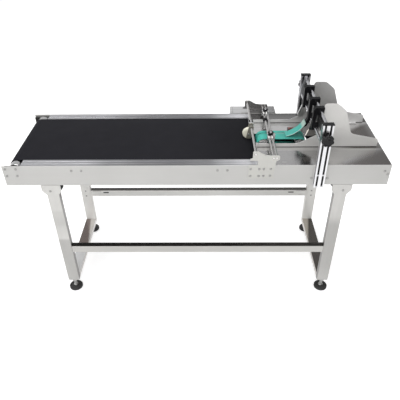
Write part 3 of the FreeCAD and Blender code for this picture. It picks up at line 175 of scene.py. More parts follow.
# ------------ stage and light
def floor_material():
    """Pale floor: near white to the camera and in reflections, with the object's shadow kept."""
    mat = bpy.data.materials.new("studio_floor")
    tree = emptied(mat)
    path = add_node(tree, "LightPath").outputs
    paint = add_node(tree, "BsdfDiffuse", {"Color": (0.80, 0.80, 0.80)}).outputs[0]
    strength = maths(tree, "MULTIPLY_ADD", path["Is Camera Ray"], FLOOR_GLOW_SEEN, FLOOR_GLOW)
    glow = add_node(tree, "Emission", {"Color": WHITE, "Strength": strength}).outputs[0]
    lit = add_node(tree, "AddShader", {0: paint, 1: glow}).outputs[0]
    seen = maths(tree, "MAXIMUM", path["Is Camera Ray"], path["Is Glossy Ray"])
    pick = add_node(tree, "MixShader", {"Fac": seen, 1: paint, 2: lit}).outputs[0]
    add_node(tree, "OutputMaterial", {"Surface": pick})
    return mat


def set_floor():
    """One large level floor."""
    mesh = bpy.data.meshes.new("studio_floor")
    corners = [(x * FLOOR_REACH, y * FLOOR_REACH, FLOOR_Z) for x, y in ((-1, -1), (1, -1), (1, 1), (-1, 1))]
    mesh.from_pydata(corners, [], [(0, 1, 2, 3)])
    mesh.materials.append(floor_material())
    floor = bpy.data.objects.new("studio_floor", mesh)
    bpy.context.scene.collection.objects.link(floor)


def set_world():
    """White to the camera, with even light on the object.

    Reflections see a room that is bright low down and overhead and dimmer between and to the right,
    so that level steel shows tone.
    """
    world = bpy.data.worlds.new("studio_world")
    bpy.context.scene.world = world
    tree = emptied(world)
    where = axes_of(tree, add_node(tree, "TexCoord").outputs["Generated"])
    room = {"Color": ramp(tree, where["Z"], ROOM_TONES),
            "Strength": map_range(tree, where["X"], *ROOM_SIDE)}
    even, room, plain = (add_node(tree, "Background", values).outputs[0] for values in
                         ({"Color": WHITE, "Strength": EVEN_LIGHT}, room, {"Color": WHITE, "Strength": 1.0}))
    path = add_node(tree, "LightPath").outputs
    lit = add_node(tree, "MixShader", {"Fac": path["Is Glossy Ray"], 1: even, 2: room})
    shown = add_node(tree, "MixShader", {"Fac": path["Is Camera Ray"], 1: lit.outputs[0], 2: plain})
    add_node(tree, "OutputWorld", {"Surface": shown.outputs[0]})


def add_softbox(name, place, target, size, power):
    """A rectangular lamp that looks at a target."""
    data = bpy.data.lights.new(name, "AREA")
    data.shape = "RECTANGLE"
    data.size = size[0]
    data.size_y = size[1]
    data.energy = power
    lamp = bpy.data.objects.new(name, data)
    bpy.context.scene.collection.objects.link(lamp)
    aim = Vector(target) - Vector(place)
    lamp.matrix_world = Matrix.Translation(place) @ aim.to_track_quat("-Z", "Y").to_matrix().to_4x4()


def set_lights():
    """Large soft lamps in front, above and at the left."""
    add_softbox("softbox_front", (-0.9, -3.2, 3.0), (0.0, 0.0, 0.5), (2.6, 2.0), 62.0)
    add_softbox("softbox_top", (0.3, 0.2, 3.4), (0.0, 0.0, 0.6), (3.0, 1.6), 46.0)
    add_softbox("softbox_left", (-3.2, -0.4, 1.8), (0.0, 0.0, 0.6), (1.6, 2.0), 22.0)


set_camera()
set_floor()
set_world()
set_lights()
bpy.context.scene.view_settings.view_transform = "Standard"


# ------------ shared shader effects
def new_group(name, takes, gives):
    """A shader node group with named float or vector sockets."""
    group = bpy.data.node_groups.new(name, "ShaderNodeTree")
    kinds = {"f": "NodeSocketFloat", "v": "NodeSocketVector"}
    for label, kind, value in takes:
        socket = group.interface.new_socket(name=label, in_out="INPUT", socket_type=kinds[kind])
        if value is not None:
            socket.default_value = value
    for label, kind in gives:
        group.interface.new_socket(name=label, in_out="OUTPUT", socket_type=kinds[kind])
    return group, group.nodes.new("NodeGroupInput").outputs, group.nodes.new("NodeGroupOutput").inputs


def make_grain_group():
    """Brushed metal: fine streaks drawn out along one direction, wide soft clouds and a few scratches.

    `Stretch` multiplies the position, so a small number along an axis draws the streaks out along it.
    """
    group, start, end = new_group("brushed_grain", [("Position", "v", None), ("Stretch", "v", (1.0, 1.0, 1.0))],
                                  [("Streak", "f"), ("Cloud", "f"), ("Scratch", "f")])
    drawn = stretched(group, start["Position"], start["Stretch"])
    fine = noise(group, drawn, 60.0, 4.0, 0.6)
    broad = maths(group, "MULTIPLY", noise(group, drawn, 9.0, 2.0, 0.5), 0.35)
    feed(group, end["Streak"], maths(group, "MULTIPLY_ADD", fine, 0.65, broad))
    feed(group, end["Cloud"], noise(group, start["Position"], 3.1, 3.0, 0.5))
    feed(group, end["Scratch"], maths(group, "GREATER_THAN", noise(group, drawn, 130.0, 1.0, 0.4), 0.74))
    return group


def make_edge_group():
    """How near a point is to a convex edge: the rounded normal leans away from the flat one there. Broken by
    patches, it lightens edges, partly as rubbing and partly as a painted highlight.
    """
    group, start, end = new_group("edge_wear_and_highlight", [("Width", "f", 0.0012), ("Position", "v", None)], [("Edge", "f")])
    soft = add_node(group, "Bevel", {"Radius": start["Width"]}, samples=4)
    flat = add_node(group, "NewGeometry")
    lean = add_node(group, "VectorMath", {0: soft.outputs["Normal"], 1: flat.outputs["Normal"]},
                    operation="DOT_PRODUCT")
    away = maths(group, "SUBTRACT", 1.0, lean.outputs["Value"])
    patchy = noise(group, start["Position"], 90.0, 3.0, 0.6)
    rub_and_highlight = maths(group, "MULTIPLY", maths(group, "MULTIPLY", away, 6.0), patchy)
    feed(group, end["Edge"], add_node(group, "Clamp", {"Value": rub_and_highlight}).outputs["Result"])
    return group


def make_dust_group():
    """Pale dust that lies on faces that look up, broken by soft noise."""
    group, start, end = new_group("settled_dust", [("Position", "v", None), ("Amount", "f", 0.3)], [("Dust", "f")])
    normal = axes_of(group, add_node(group, "NewGeometry").outputs["Normal"])
    up = maths(group, "MAXIMUM", normal["Z"], 0.0)
    patchy = noise(group, start["Position"], 14.0, 5.0, 0.65)
    feed(group, end["Dust"], maths(group, "MULTIPLY", maths(group, "MULTIPLY", up, patchy), start["Amount"]))
    return group


GRAIN = make_grain_group()
EDGE = make_edge_group()
DUST = make_dust_group()


def place_group(tree, group, position, **values):
    """A shared effect at a position, with its other inputs."""
    return add_node(tree, "Group", {"Position": position, **values}, node_tree=group).outputs


def bump(tree, shader, height, strength, distance):
    """Tilts a shader's normal by the slope of a height."""
    node = add_node(tree, "Bump", {"Strength": strength, "Distance": distance, "Height": height})
    feed(tree, shader.inputs["Normal"], node.outputs["Normal"])


def toned(colour, times, plus=0.0):
    """A colour made lighter or darker, held at white."""
    return tuple(min(1.0, part * times + plus) for part in colour)


def steel(name, colour, stretch, rough, depth=0.00004, edge=0.10, streak=0.10, cloud=0.10,
          metal=1.0):
    """Brushed stainless steel: streaks change tone, roughness and height; edges are a little brighter, partly
    rubbed and partly a painted highlight.
    """
    mat, shader = new_material(name)
    tree = mat.node_tree
    position = object_position(tree)
    grain = place_group(tree, GRAIN, position, Stretch=stretch)
    edge_rub_and_highlight = place_group(tree, EDGE, position)
    base = blend_colour(tree, grain["Streak"], toned(colour, 1.0 - streak), toned(colour, 1.0 + streak))
    shade = ramp(tree, grain["Cloud"], [(0.30, 1.0 - cloud), (0.70, 1.0)])
    base = blend_colour(tree, 1.0, base, shade, "MULTIPLY")
    # Painted highlight, partly rubbing: edges are lightened.
    feed(tree, shader.inputs["Base Color"], blend_colour(tree, edge_rub_and_highlight["Edge"], base, toned(colour, 1.0 + edge, 0.04)))
    shader.inputs["Metallic"].default_value = metal
    value = maths(tree, "MULTIPLY_ADD", grain["Streak"], rough[1] - rough[0], rough[0])
    feed(tree, shader.inputs["Roughness"], maths(tree, "MULTIPLY_ADD", grain["Scratch"], 0.10, value))
    bump(tree, shader, grain["Streak"], 0.35, depth)
    return mat


def plastic(name, colour, rough, grainy=420.0, depth=0.00006, dust=0.10, edge=0.12, gloss=0.5):
    """Moulded plastic or rubber: a fine pebble in the surface, dust on top and paler edges, partly rubbed and
    partly a painted highlight.
    """
    mat, shader = new_material(name)
    tree = mat.node_tree
    position = object_position(tree)
    pebble = noise(tree, position, grainy, 2.0, 0.5)
    cloud = noise(tree, position, 18.0, 3.0, 0.55)
    edge_rub_and_highlight = place_group(tree, EDGE, position)
    lie = place_group(tree, DUST, position, Amount=dust)
    base = blend_colour(tree, cloud, toned(colour, 0.82), toned(colour, 1.18))
    # Painted highlight, partly rubbing: edges are lightened.
    base = blend_colour(tree, edge_rub_and_highlight["Edge"], base, toned(colour, 1.0, edge))
    feed(tree, shader.inputs["Base Color"], blend_colour(tree, lie["Dust"], base, (0.42, 0.41, 0.39)))
    shader.inputs["Specular IOR Level"].default_value = gloss
    value = maths(tree, "MULTIPLY_ADD", pebble, 0.14, rough - 0.07)
    feed(tree, shader.inputs["Roughness"], maths(tree, "MULTIPLY_ADD", lie["Dust"], 0.3, value))
    bump(tree, shader, pebble, 0.4, depth)
    return mat


ALONG_X = (0.06, 1.0, 1.0)
ALONG_Y = (1.0, 0.06, 1.0)
ALONG_Z = (1.0, 1.0, 0.06)
ANODISED = {"colour": (0.007, 0.007, 0.008), "rough": 0.36, "grainy": 1200.0, "depth": 0.00002, "dust": 0.0,
            "edge": 0.05, "gloss": 0.07}
look = {
    "panel": steel("folded_panel_steel", (0.56, 0.555, 0.54), ALONG_X, rough=(0.36, 0.50), streak=0.05, cloud=0.07,
                   metal=0.25),
    "bracket": steel("cut_bracket_steel", (0.58, 0.575, 0.545), ALONG_Z, rough=(0.38, 0.52), streak=0.05,
                     metal=0.40),
    # The rear bracket is a darker copy of the bracket steel: painted shade on its inner face.
    "bracket_rear": steel("cut_bracket_steel_rear_painted_shade", (0.33, 0.32, 0.315), ALONG_X, rough=(0.20, 0.34), metal=0.75),
    # The legs are copies of one steel in different tones: painted light and shade.
    "leg_left": steel("tube_leg_steel_left_painted_light", (0.74, 0.73, 0.705), ALONG_Z, rough=(0.24, 0.38), cloud=0.10,
                      metal=0.25),
    "leg_right": steel("tube_leg_steel_right_painted_light", (0.62, 0.61, 0.59), ALONG_Z, rough=(0.24, 0.38), cloud=0.10,
                       metal=0.25),
    "leg_rear": steel("tube_leg_steel_rear_painted_light", (0.84, 0.83, 0.80), ALONG_Z, rough=(0.24, 0.38), cloud=0.08,
                      metal=0.15),
    # The stretchers and end rails are copies of one steel in different tones, for painted light and shade.
    "rail_x": steel("tube_stretcher_steel_painted_reflection", (0.56, 0.55, 0.525), ALONG_X, rough=(0.26, 0.40), metal=0.25),
    "rail_rear": steel("tube_stretcher_steel_rear_painted_light", (0.82, 0.81, 0.785), ALONG_X, rough=(0.26, 0.40), metal=0.15),
    "rail_left": steel("tube_end_rail_steel_left_painted_reflection", (0.60, 0.58, 0.56), ALONG_Y, rough=(0.14, 0.26)),
    "rail_right": steel("tube_end_rail_steel_right_painted_reflection", (0.55, 0.52, 0.49), ALONG_Y, rough=(0.14, 0.26)),
    # The deck's tones and zones below are painted reflections and painted shade.
    "deck": steel("polished_deck_steel_painted_reflection_and_shade", (0.72, 0.715, 0.71), ALONG_X, rough=(0.13, 0.21), streak=0.06),
    # The rear cheek is a lighter copy of the cheek steel: painted light.
    "cheek_front": steel("satin_cheek_steel_painted_shade", (0.68, 0.67, 0.65), ALONG_Z, rough=(0.34, 0.48), streak=0.05,
                         metal=0.45),
    "cheek_rear": steel("satin_cheek_steel_rear_painted_light", (0.84, 0.835, 0.825), ALONG_Z, rough=(0.30, 0.44), streak=0.05,
                        metal=0.6),
    "strip": steel("edge_strip_aluminium_painted_reflection", (0.66, 0.66, 0.68), ALONG_X, rough=(0.24, 0.32), depth=0.00001,
                   streak=0.04),
    # The rear post is a darker copy of the post aluminium: painted shade. Both posts get painted shade in their
    # slots below.
    "post_front": steel("anodised_post_aluminium_painted_shade", (0.80, 0.80, 0.82), ALONG_Z, rough=(0.24, 0.36), streak=0.05),
    "post_rear": steel("anodised_post_aluminium_rear_painted_shade", (0.66, 0.65, 0.68), ALONG_Z, rough=(0.22, 0.34)),
    "rod": steel("ground_rod_steel", (0.62, 0.61, 0.60), ALONG_Y, rough=(0.10, 0.20)),
    "guide_rod": steel("gate_rod_steel", (0.56, 0.56, 0.58), ALONG_Y, rough=(0.14, 0.24)),
    "chrome": steel("bright_clamp_steel", (0.72, 0.72, 0.72), ALONG_Y, rough=(0.10, 0.20), streak=0.05),
    "roller": steel("turned_roller_steel", (0.62, 0.62, 0.62), ALONG_Y, rough=(0.18, 0.30)),
    "bolt": steel("screw_steel", (0.40, 0.40, 0.39), (1.0, 1.0, 1.0), rough=(0.22, 0.34)),
    # The belt is darkened towards the drum end below: painted shade.
    "belt": plastic("black_belt_cover_painted_shade", (0.0125, 0.0125, 0.016), 0.75, grainy=900.0, dust=0.012, edge=0.01,
                    gloss=0.08),
    # The feed belts' green is darkened towards the right below: painted shade.
    "green": plastic("green_friction_rubber_painted_shade", (0.040, 0.42, 0.345), 0.52, grainy=600.0, dust=0.05, edge=0.05),
    # The entry strip gets a painted highlight and painted shade below.
    "entry": plastic("green_entry_rubber_painted_highlight_and_shade", (0.045, 0.36, 0.305), 0.45, grainy=600.0, dust=0.05, edge=0.16),
    "cream": plastic("cream_wheel_rubber", (0.74, 0.72, 0.60), 0.5, grainy=500.0, dust=0.05, edge=0.05),
    # This dark olive is painted shade: it stands for the shaded side of the cream wheel.
    "olive": plastic("olive_arm_painted_shade", (0.15, 0.145, 0.12), 0.45, grainy=500.0, dust=0.05, edge=0.08),
    "black": plastic("black_moulding", (0.010, 0.010, 0.011), 0.42, dust=0.02, gloss=0.09, edge=0.04),
    "eye": plastic("sensor_moulding", (0.012, 0.012, 0.013), 0.35, gloss=0.4),
    "rubber": plastic("black_foot_rubber", (0.012, 0.012, 0.013), 0.5, gloss=0.4),
    "knob": plastic("glossy_knob_plastic", (0.006, 0.006, 0.007), 0.24, grainy=900.0, depth=0.00001, dust=0.01,
                    edge=0.02, gloss=0.28),
    "lens": plastic("red_lens_plastic", (0.30, 0.035, 0.03), 0.16, grainy=900.0, depth=0.00001, dust=0.0,
                    edge=0.02),
    "gate": plastic("black_anodised_gate", **ANODISED),
    "tail_block": plastic("black_bearing_block", (0.012, 0.012, 0.012), 0.5, edge=0.03, gloss=0.15),
    "ramp": plastic("black_ramp_block", (0.007, 0.007, 0.008), 0.5, grainy=900.0, dust=0.01, edge=0.03, gloss=0.12),
    "gate_bar": plastic("black_anodised_bar", (0.012, 0.012, 0.013), 0.30, grainy=1200.0, depth=0.00002, dust=0.06,
                        edge=0.08, gloss=0.3),
    "guide_front": plastic("black_anodised_guide_front", **ANODISED),
    "guide_rear": plastic("black_anodised_guide_rear", **ANODISED),
    # The box's grey is darkened towards its right end below: painted shade.
    "box": plastic("grey_cover_paint_painted_shade", (0.42, 0.42, 0.425), 0.42, grainy=300.0, dust=0.05),
}


# ------------ zones of a finish
def mask_of(tree, form):
    """A mask that is 1 in one zone of the object.

    "-Y" is what faces that way, ("X", low, high, soft) a band along an axis, and ((x, y), (x, y), soft)
    the left of the line from one point to the other, seen from above.
    """
    if isinstance(form, str):
        normal = axes_of(tree, add_node(tree, "NewGeometry").outputs["Normal"])
        value = maths(tree, "MULTIPLY", normal[form[1]], 1.0 if form[0] == "+" else -1.0)
        return map_range(tree, value, 0.6, 0.95)
    if isinstance(form[0], str):
        axis, low, high, soft = (*form, 0.0004)[:4]
        value = axes_of(tree, object_position(tree))[axis]
        return maths(tree, "MULTIPLY", map_range(tree, value, low - soft, low + soft),
                     map_range(tree, value, high + soft, high - soft))
    (x0, y0), (x1, y1), soft = form
    along = math.hypot(x1 - x0, y1 - y0)
    across = ((y0 - y1) / along, (x1 - x0) / along, 0.0)
    parts = axes_of(tree, stretched(tree, object_position(tree), across))
    value = maths(tree, "ADD", parts["X"], parts["Y"])
    start = across[0] * x0 + across[1] * y0
    return map_range(tree, value, start - soft, start + soft, kind="SMOOTHSTEP")


@functools.cache
def zone_mask(tree, forms):
    """The part that all the masks share, or 1 where there is none; each is made once in a tree."""
    if not forms:
        return 1.0
    last = mask_of(tree, forms[-1])
    return last if len(forms) == 1 else maths(tree, "MULTIPLY", zone_mask(tree, forms[:-1]), last)


def tint(names, colour, *forms, roughness=None, metallic=None):
    """Lays another colour, and if asked another gloss, over the named looks inside a zone."""
    for name in names.split():
        tree = look[name].node_tree
        shader = tree.nodes["Principled BSDF"]
        mask = zone_mask(tree, forms)
        socket = shader.inputs["Base Color"]
        feed(tree, socket, blend_colour(tree, mask, socket.links[0].from_socket, colour))
        for label, value in (("Roughness", roughness), ("Metallic", metallic)):
            if value is None:
                continue
            socket = shader.inputs[label]
            old = socket.links[0].from_socket if socket.links else socket.default_value
            mix = add_node(tree, "Mix", {"Factor": mask, "A": old, "B": value})
            feed(tree, socket, mix.outputs["Result"])


def tone(name, axis, stops, *forms):
    """Multiplies a look's colour inside a zone by a tone along an axis, given as (metres, tone) stops."""
    tree = look[name].node_tree
    low, high = stops[0][0], stops[-1][0]
    place = map_range(tree, axes_of(tree, object_position(tree))[axis], low, high)
    tones = ramp(tree, place, [((at - low) / (high - low), level) for at, level in stops])
    socket = tree.nodes["Principled BSDF"].inputs["Base Color"]
    feed(tree, socket, blend_colour(tree, zone_mask(tree, forms), socket.links[0].from_socket, tones, "MULTIPLY"))


# Painted shade inside the slots of the posts; the bare ends of the crossbar and the feet of the guides get their
# own colours.
for name, near in (("post_front", -POST_FACE), ("post_rear", 0.2225)):
    tint(name, (0.012, 0.012, 0.013), ("X", 0.4592, 0.4968), ("Y", near + 0.0006, near + 0.0194),
         roughness=0.6, metallic=0.0)
for low, high in ((-0.223, -0.2142), (0.2142, 0.223)):
    tint("gate_bar", (0.62, 0.62, 0.64), ("Y", low, high), roughness=0.3, metallic=1.0)
tint("guide_front", (0.9, 0.84, 0.77), ("Y", -0.0797, -0.07), ("Z", 0.729, 0.756), roughness=0.4)
tint("guide_rear", (0.6, 0.6, 0.6), ("Y", 0.117, 0.128), ("Z", 0.7, 0.77), roughness=0.3, metallic=1.0)

# A painted shadow along the foot of the cheeks, painted highlight and shade on the entry strip, the sensor, and the
# joints and louvres of the box.
# Painted shadow: a dark line along the foot of the cheeks.
tint("cheek_front cheek_rear", (0.06, 0.058, 0.055), ("Z", 0.679, 0.6822), "-Y")
# Painted highlight on the front faces of the entry strip, and painted shade on its upper part.
tint("entry", (0.62, 0.8, 0.74), "-Y")
tint("entry", (0.34, 0.46, 0.41), ("Z", 0.74, 0.76, 0.004))
tint("eye", (0.17, 0.05, 0.042), "+Z", ("X", 0.3905, 0.4115))
tint("box", (0.06, 0.06, 0.06), "+Z", ("Y", 0.261, 0.2622))
for low in (0.164, 0.348):
    tint("box", (0.12, 0.12, 0.12), "+Z", ("X", low, low + 0.001))
for low in (0.625 + row * 0.008 for row in range(6)):
    tint("box", (0.02, 0.02, 0.02), "+Y", ("X", 0.19, 0.323), ("Z", low, low + 0.0028))

# Tubes: painted reflection darkens their level faces and lightens parts of the end rails' tops; painted light and
# shade make the tones down the legs.
tint("rail_x rail_rear", (0.11, 0.105, 0.1), "+Z", roughness=0.2, metallic=1.0)
tint("rail_left", (0.24, 0.2, 0.185), "+Z", roughness=0.2, metallic=1.0)
# Painted reflections: lighter zones on the end rails' tops.
tint("rail_left", (0.62, 0.6, 0.58), "+Z", ((-0.576, 0.195), (-0.556, 0.045), 0.006))
tint("rail_left", (0.86, 0.86, 0.86), "+Z", ("Y", -0.3, -0.035, 0.008), metallic=0.0)
tint("rail_right", (0.13, 0.12, 0.11), "+Z", roughness=0.2, metallic=1.0)
tint("rail_right", (0.62, 0.58, 0.53), "+Z", ((0.55, 0.02), (0.58, 0.19), 0.006))
# Painted light and shade: tones down the legs' front faces, and darker outer sides.
tone("leg_left", "Z", ((0.05, 0.68), (0.296, 0.66), (0.314, 0.88), (0.362, 0.82), (0.395, 0.74), (0.45, 0.8),
                       (0.47, 0.87), (0.6, 0.87)), "-Y")
tone("leg_right", "Z", ((0.05, 0.9), (0.15, 0.76), (0.25, 0.72), (0.375, 0.7), (0.44, 0.97), (0.6, 0.97)), "-Y")
tint("leg_left", (0.22, 0.215, 0.21), "+X", metallic=0.8)
tint("leg_right", (0.22, 0.215, 0.21), "-X", metallic=0.8)

# Painted reflections on the long level pieces, painted shade at the belt's drum end, and painted light and shade on
# the cheeks.
# Painted reflections: tones along the edge strips.
tone("strip", "X", ((-0.74, 0.82), (-0.44, 0.78), (-0.32, 0.55), (-0.2, 0.42), (-0.08, 0.38), (0.04, 0.45),
                    (0.12, 0.75), (0.2, 1.0)))
# Painted shade: the belt darkens towards the drum end.
tone("belt", "X", ((-0.73, 1.0), (-0.1, 0.95), (0.22, 0.62)))
# Painted light and shade: tones along the rear cheek and up the front cheek's face.
tone("cheek_rear", "X", ((0.24, 0.78), (0.42, 0.72), (0.5, 0.56), (0.615, 0.56), (0.635, 1.0), (0.7, 1.0),
                         (0.74, 0.78)))
tone("cheek_front", "Z", ((0.69, 0.86), (0.712, 0.9), (0.735, 1.0)), "-Y", ("X", 0.2, 0.56, 0.03))

# Deck: painted reflections on its front and rear strips and on the floor of the hopper, and painted shade on the
# walls of its window.
DECK_TOP = ("+Z", ("Z", 0.67, 0.681))
DECK_REAR = (*DECK_TOP, ("Y", 0.1295, 0.23))
HOPPER = (*DECK_TOP, ("Y", -0.096, 0.125, 0.004))
# Painted reflections: tones along the front strip and across the rear strip, darker near its right end.
tone("deck", "X", ((0.22, 0.78), (0.5, 0.78), (0.53, 1.0), (0.6, 0.92), (0.75, 0.8)), *DECK_TOP,
     ("Y", -0.23, -0.112))
tone("deck", "Y", ((0.125, 0.55), (0.165, 0.39), (0.2, 0.3), (0.222, 0.18)), *DECK_REAR)
tint("deck", (0.15, 0.14, 0.13), *DECK_REAR, ("X", 0.7, 0.76, 0.006))
# Painted shade on the walls of the window.
tint("deck", (0.16, 0.16, 0.16), ("X", 0.246, 0.463), ("Y", -0.07, 0.07), ("Z", 0.59, 0.679))
# Painted reflection: a darker zone on the deck top at the right front.
tint("deck", (0.25, 0.235, 0.225), *DECK_TOP, ((0.72, -0.115), (0.57, -0.215), 0.03))
# Painted reflections on the floor of the hopper: a light zone and a dark zone.
tint("deck", (0.7, 0.69, 0.68), *HOPPER, ((0.62, 0.03), (0.715, 0.1), 0.015), ("X", 0.6, 0.76, 0.02))
tint("deck", (0.2, 0.185, 0.175), *HOPPER, ((0.715, 0.1), (0.62, 0.03), 0.015),
     ("X", 0.6, 0.76, 0.04))
# Painted shade: the box darkens towards its right end.
tone("box", "X", ((0.153, 1.0), (0.255, 1.0), (0.3, 0.5), (0.362, 0.45)))
# Painted shade: the feed belts darken where they run under the entry strip.
tone("green", "X", ((0.25, 1.0), (0.33, 1.0), (0.365, 0.74), (0.39, 0.58), (0.456, 0.52)))
tint("ramp", (0.5, 0.47, 0.42), ("Z", 0.7006, 0.72), roughness=0.4)


# ------------ dressing the frame's own nodes
def dress(look_name, *nodes):
    """Gives CAD nodes their finish by putting it in their material slots."""
    for node in nodes:
        item = frame["nodes"][node]
        if not item.data.materials:
            item.data.materials.append(look[look_name])
        for slot in item.material_slots:
            slot.material = look[look_name]


# ------------ surfaces worked out from formulas
SMOOTH_CREASE, EASED_CREASE = 32.0, 35.0
BODY_OF = {node: body for body, nodes in frame["record"]["behaviour"]["bodies"].items() for node in nodes}
AXES = {"x": ((1, 0, 0), (0, 1, 0), (0, 0, 1)), "y": ((0, 1, 0), (0, 0, 1), (1, 0, 0)),
        "z": ((0, 0, 1), (1, 0, 0), (0, 1, 0))}


def grid_faces(rows, columns, close_rows=False):
    """Quads that join each point (r, c) of a grid to (r, c+1), (r+1, c+1) and (r+1, c)."""
    r, c = np.meshgrid(np.arange(rows if close_rows else rows - 1), np.arange(columns), indexing="ij")
    r2, c2 = (r + 1) % rows, (c + 1) % columns
    return np.stack([r * columns + c, r * columns + c2, r2 * columns + c2, r2 * columns + c], -1).reshape(-1, 4)


def enclosed(points, faces):
    """Signed volume: the sum over faces of a corner dotted with the face's area vector, over three."""
    a, b, c, d = (points[faces[:, k]] for k in range(4))
    return float(np.sum(a * np.cross(c - a, d - b))) / 6.0


def shell(points, faces, caps=()):
    """Points and faces of one closed skin, turned round if its faces point inwards."""
    points = points.reshape(-1, 3)
    volume = enclosed(points, faces)
    for cap in caps:
        ring = points[cap]
        area = 0.5 * np.sum(np.cross(ring, np.roll(ring, -1, axis=0)), axis=0)
        volume += float(np.dot(ring[0], area)) / 3.0
    faces = [tuple(face) for face in faces.tolist()] + [tuple(cap.tolist()) for cap in caps]
    return points, [face[::-1] for face in faces] if volume < 0 else faces


def merge_mesh(mesh, distance, bend=0.0):
    """Joins points that lie together, and then faces that meet within `bend` degrees."""
    work = bmesh.new()
    work.from_mesh(mesh)
    bmesh.ops.remove_doubles(work, verts=work.verts, dist=distance)
    if bend:
        bmesh.ops.dissolve_limit(work, angle_limit=math.radians(bend), verts=work.verts, edges=work.edges)
    work.to_mesh(mesh)
    work.free()


def make_piece(name, body, finish, shells, stands_for=()):
    """One mesh object from closed skins, with doubles merged."""
    stack, faces, first = [], [], 0
    for points, ring in shells:
        stack.append(points)
        faces += [tuple(index + first for index in face) for face in ring]
        first += len(points)
    mesh = bpy.data.meshes.new(name)
    mesh.from_pydata(np.concatenate(stack).tolist(), [], faces)
    merge_mesh(mesh, 2e-6)
    place_piece(name, mesh, body, finish, stands_for, SMOOTH_CREASE)


def place_piece(name, mesh, body, finish, stands_for, crease):
    """Puts a mesh in the scene on its body, smooth but for folds sharper than `crease`."""
    mesh.shade_smooth()
    mesh.set_sharp_from_angle(angle=math.radians(crease))
    mesh.materials.clear()
    mesh.materials.append(look[finish])
    piece = bpy.data.objects.new(name, mesh)
    bpy.context.scene.collection.objects.link(piece)
    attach(piece, body)
    if stands_for:
        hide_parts(*stands_for)
    return piece


def turned(rows, centre, axis, steps, closed=False):
    """Rows (along, radius, outline) carried round an axis.

    A point is centre + along * axis + radius * outline(angle) * (cos(angle) * e1 + sin(angle) * e2).
    A row with no outline is round.
    """
    main, first, second = (np.array(v, float) for v in AXES[axis])
    angle = np.arange(steps) * TAU / steps
    along = np.array([row[0] for row in rows])[:, None]
    radius = np.stack([row[1] * (row[2](angle) if len(row) > 2 else np.ones(steps)) for row in rows])
    points = (np.array(centre) + along[..., None] * main
              + radius[..., None] * (np.cos(angle)[:, None] * first + np.sin(angle)[:, None] * second))
    return shell(points, grid_faces(len(rows), steps, close_rows=closed))


def spiral(low, high, radius, pitch, depth, centre, steps=28):
    """Upright screw thread: radius - depth * triangle(along / pitch - angle / turn), closed by flat ends."""
    main, first, second = (np.array(v, float) for v in AXES["z"])
    angle = np.arange(steps) * TAU / steps
    along = np.linspace(low, high, int((high - low) / pitch * 6) + 2)
    phase = np.mod(along[:, None] / pitch - angle[None, :] / TAU, 1.0)
    reach = radius - depth * np.abs(2.0 * phase - 1.0)
    reach = np.concatenate([np.zeros((1, steps)), reach, np.zeros((1, steps))])
    along = np.concatenate([[low], along, [high]])
    points = (np.array(centre) + along[:, None, None] * main
              + reach[..., None] * (np.cos(angle)[:, None] * first + np.sin(angle)[:, None] * second))
    return shell(points, grid_faces(len(along), steps))


def flats(count, lowest=None):
    """Outline of a bar with flats, 1 at its corners; `lowest` caps it to a chamfer cone."""
    half = math.pi / count

    def outline(angle):
        """Reach at each angle: cos(half) / cos(angle from the middle of its flat)."""
        reach = math.cos(half) / np.cos(np.mod(angle, 2 * half) - half)
        return reach if lowest is None else np.minimum(reach, lowest)
    return outline


def waves(count, depth, sharp=1.0):
    """Outline that swings between 1 and 1 - depth, `count` times round."""
    def outline(angle):
        """Reach at each angle: 1 - depth * (1 - swing ** sharp)."""
        swing = 0.5 + 0.5 * np.cos(count * angle)
        return 1.0 - depth * (1.0 - swing ** sharp)
    return outline


def rounded_outline(corners, steps=5):
    """Closed outline with rounded corners: each corner (a, b, radius) becomes an arc tangent to both sides."""
    spots = np.array([corner[:2] for corner in corners], float)
    reach = np.array([corner[2] for corner in corners], float)
    before = np.roll(spots, 1, axis=0) - spots
    after = np.roll(spots, -1, axis=0) - spots
    before /= np.linalg.norm(before, axis=1, keepdims=True)
    after /= np.linalg.norm(after, axis=1, keepdims=True)
    half = 0.5 * np.arccos(np.clip(np.sum(before * after, axis=1), -1, 1))
    middle = (before + after) / np.linalg.norm(before + after, axis=1, keepdims=True)
    centre = spots + middle * (reach / np.sin(half))[:, None]
    start = spots + before * (reach / np.tan(half))[:, None] - centre
    end = spots + after * (reach / np.tan(half))[:, None] - centre
    share = np.linspace(0.0, 1.0, steps)[None, :, None]
    span = (math.pi - 2.0 * half)[:, None, None]
    mixed = (np.sin((1 - share) * span) * start[:, None] + np.sin(share * span) * end[:, None]) / np.sin(span)
    return (centre[:, None] + mixed).reshape(-1, 2)


def rectangle(a0, b0, a1, b1, corner, steps=5):
    """Outline from one corner to the opposite one, with its corners rounded."""
    return rounded_outline([(a0, b0, corner), (a1, b0, corner), (a1, b1, corner), (a0, b1, corner)], steps)


def mirrored(rows, side):
    """Profile rows, turned to the other side of their origin where `side` is -1."""
    return [(along * side, *others) for along, *others in rows]


def shrunk(outline, inset):
    """Outline moved inwards by `inset` along the mean of its two sides' normals, with mitred corners."""
    ahead = np.roll(outline, -1, axis=0) - outline
    ahead /= np.linalg.norm(ahead, axis=1, keepdims=True)
    out = np.stack([ahead[:, 1], -ahead[:, 0]], -1)
    both = out + np.roll(out, 1, axis=0)
    both /= np.sum(both * both, axis=1, keepdims=True) / 2.0
    area = np.sum(outline[:, 0] * np.roll(outline[:, 1], -1) - outline[:, 1] * np.roll(outline[:, 0], -1))
    return outline - both * inset * (1.0 if area > 0 else -1.0)


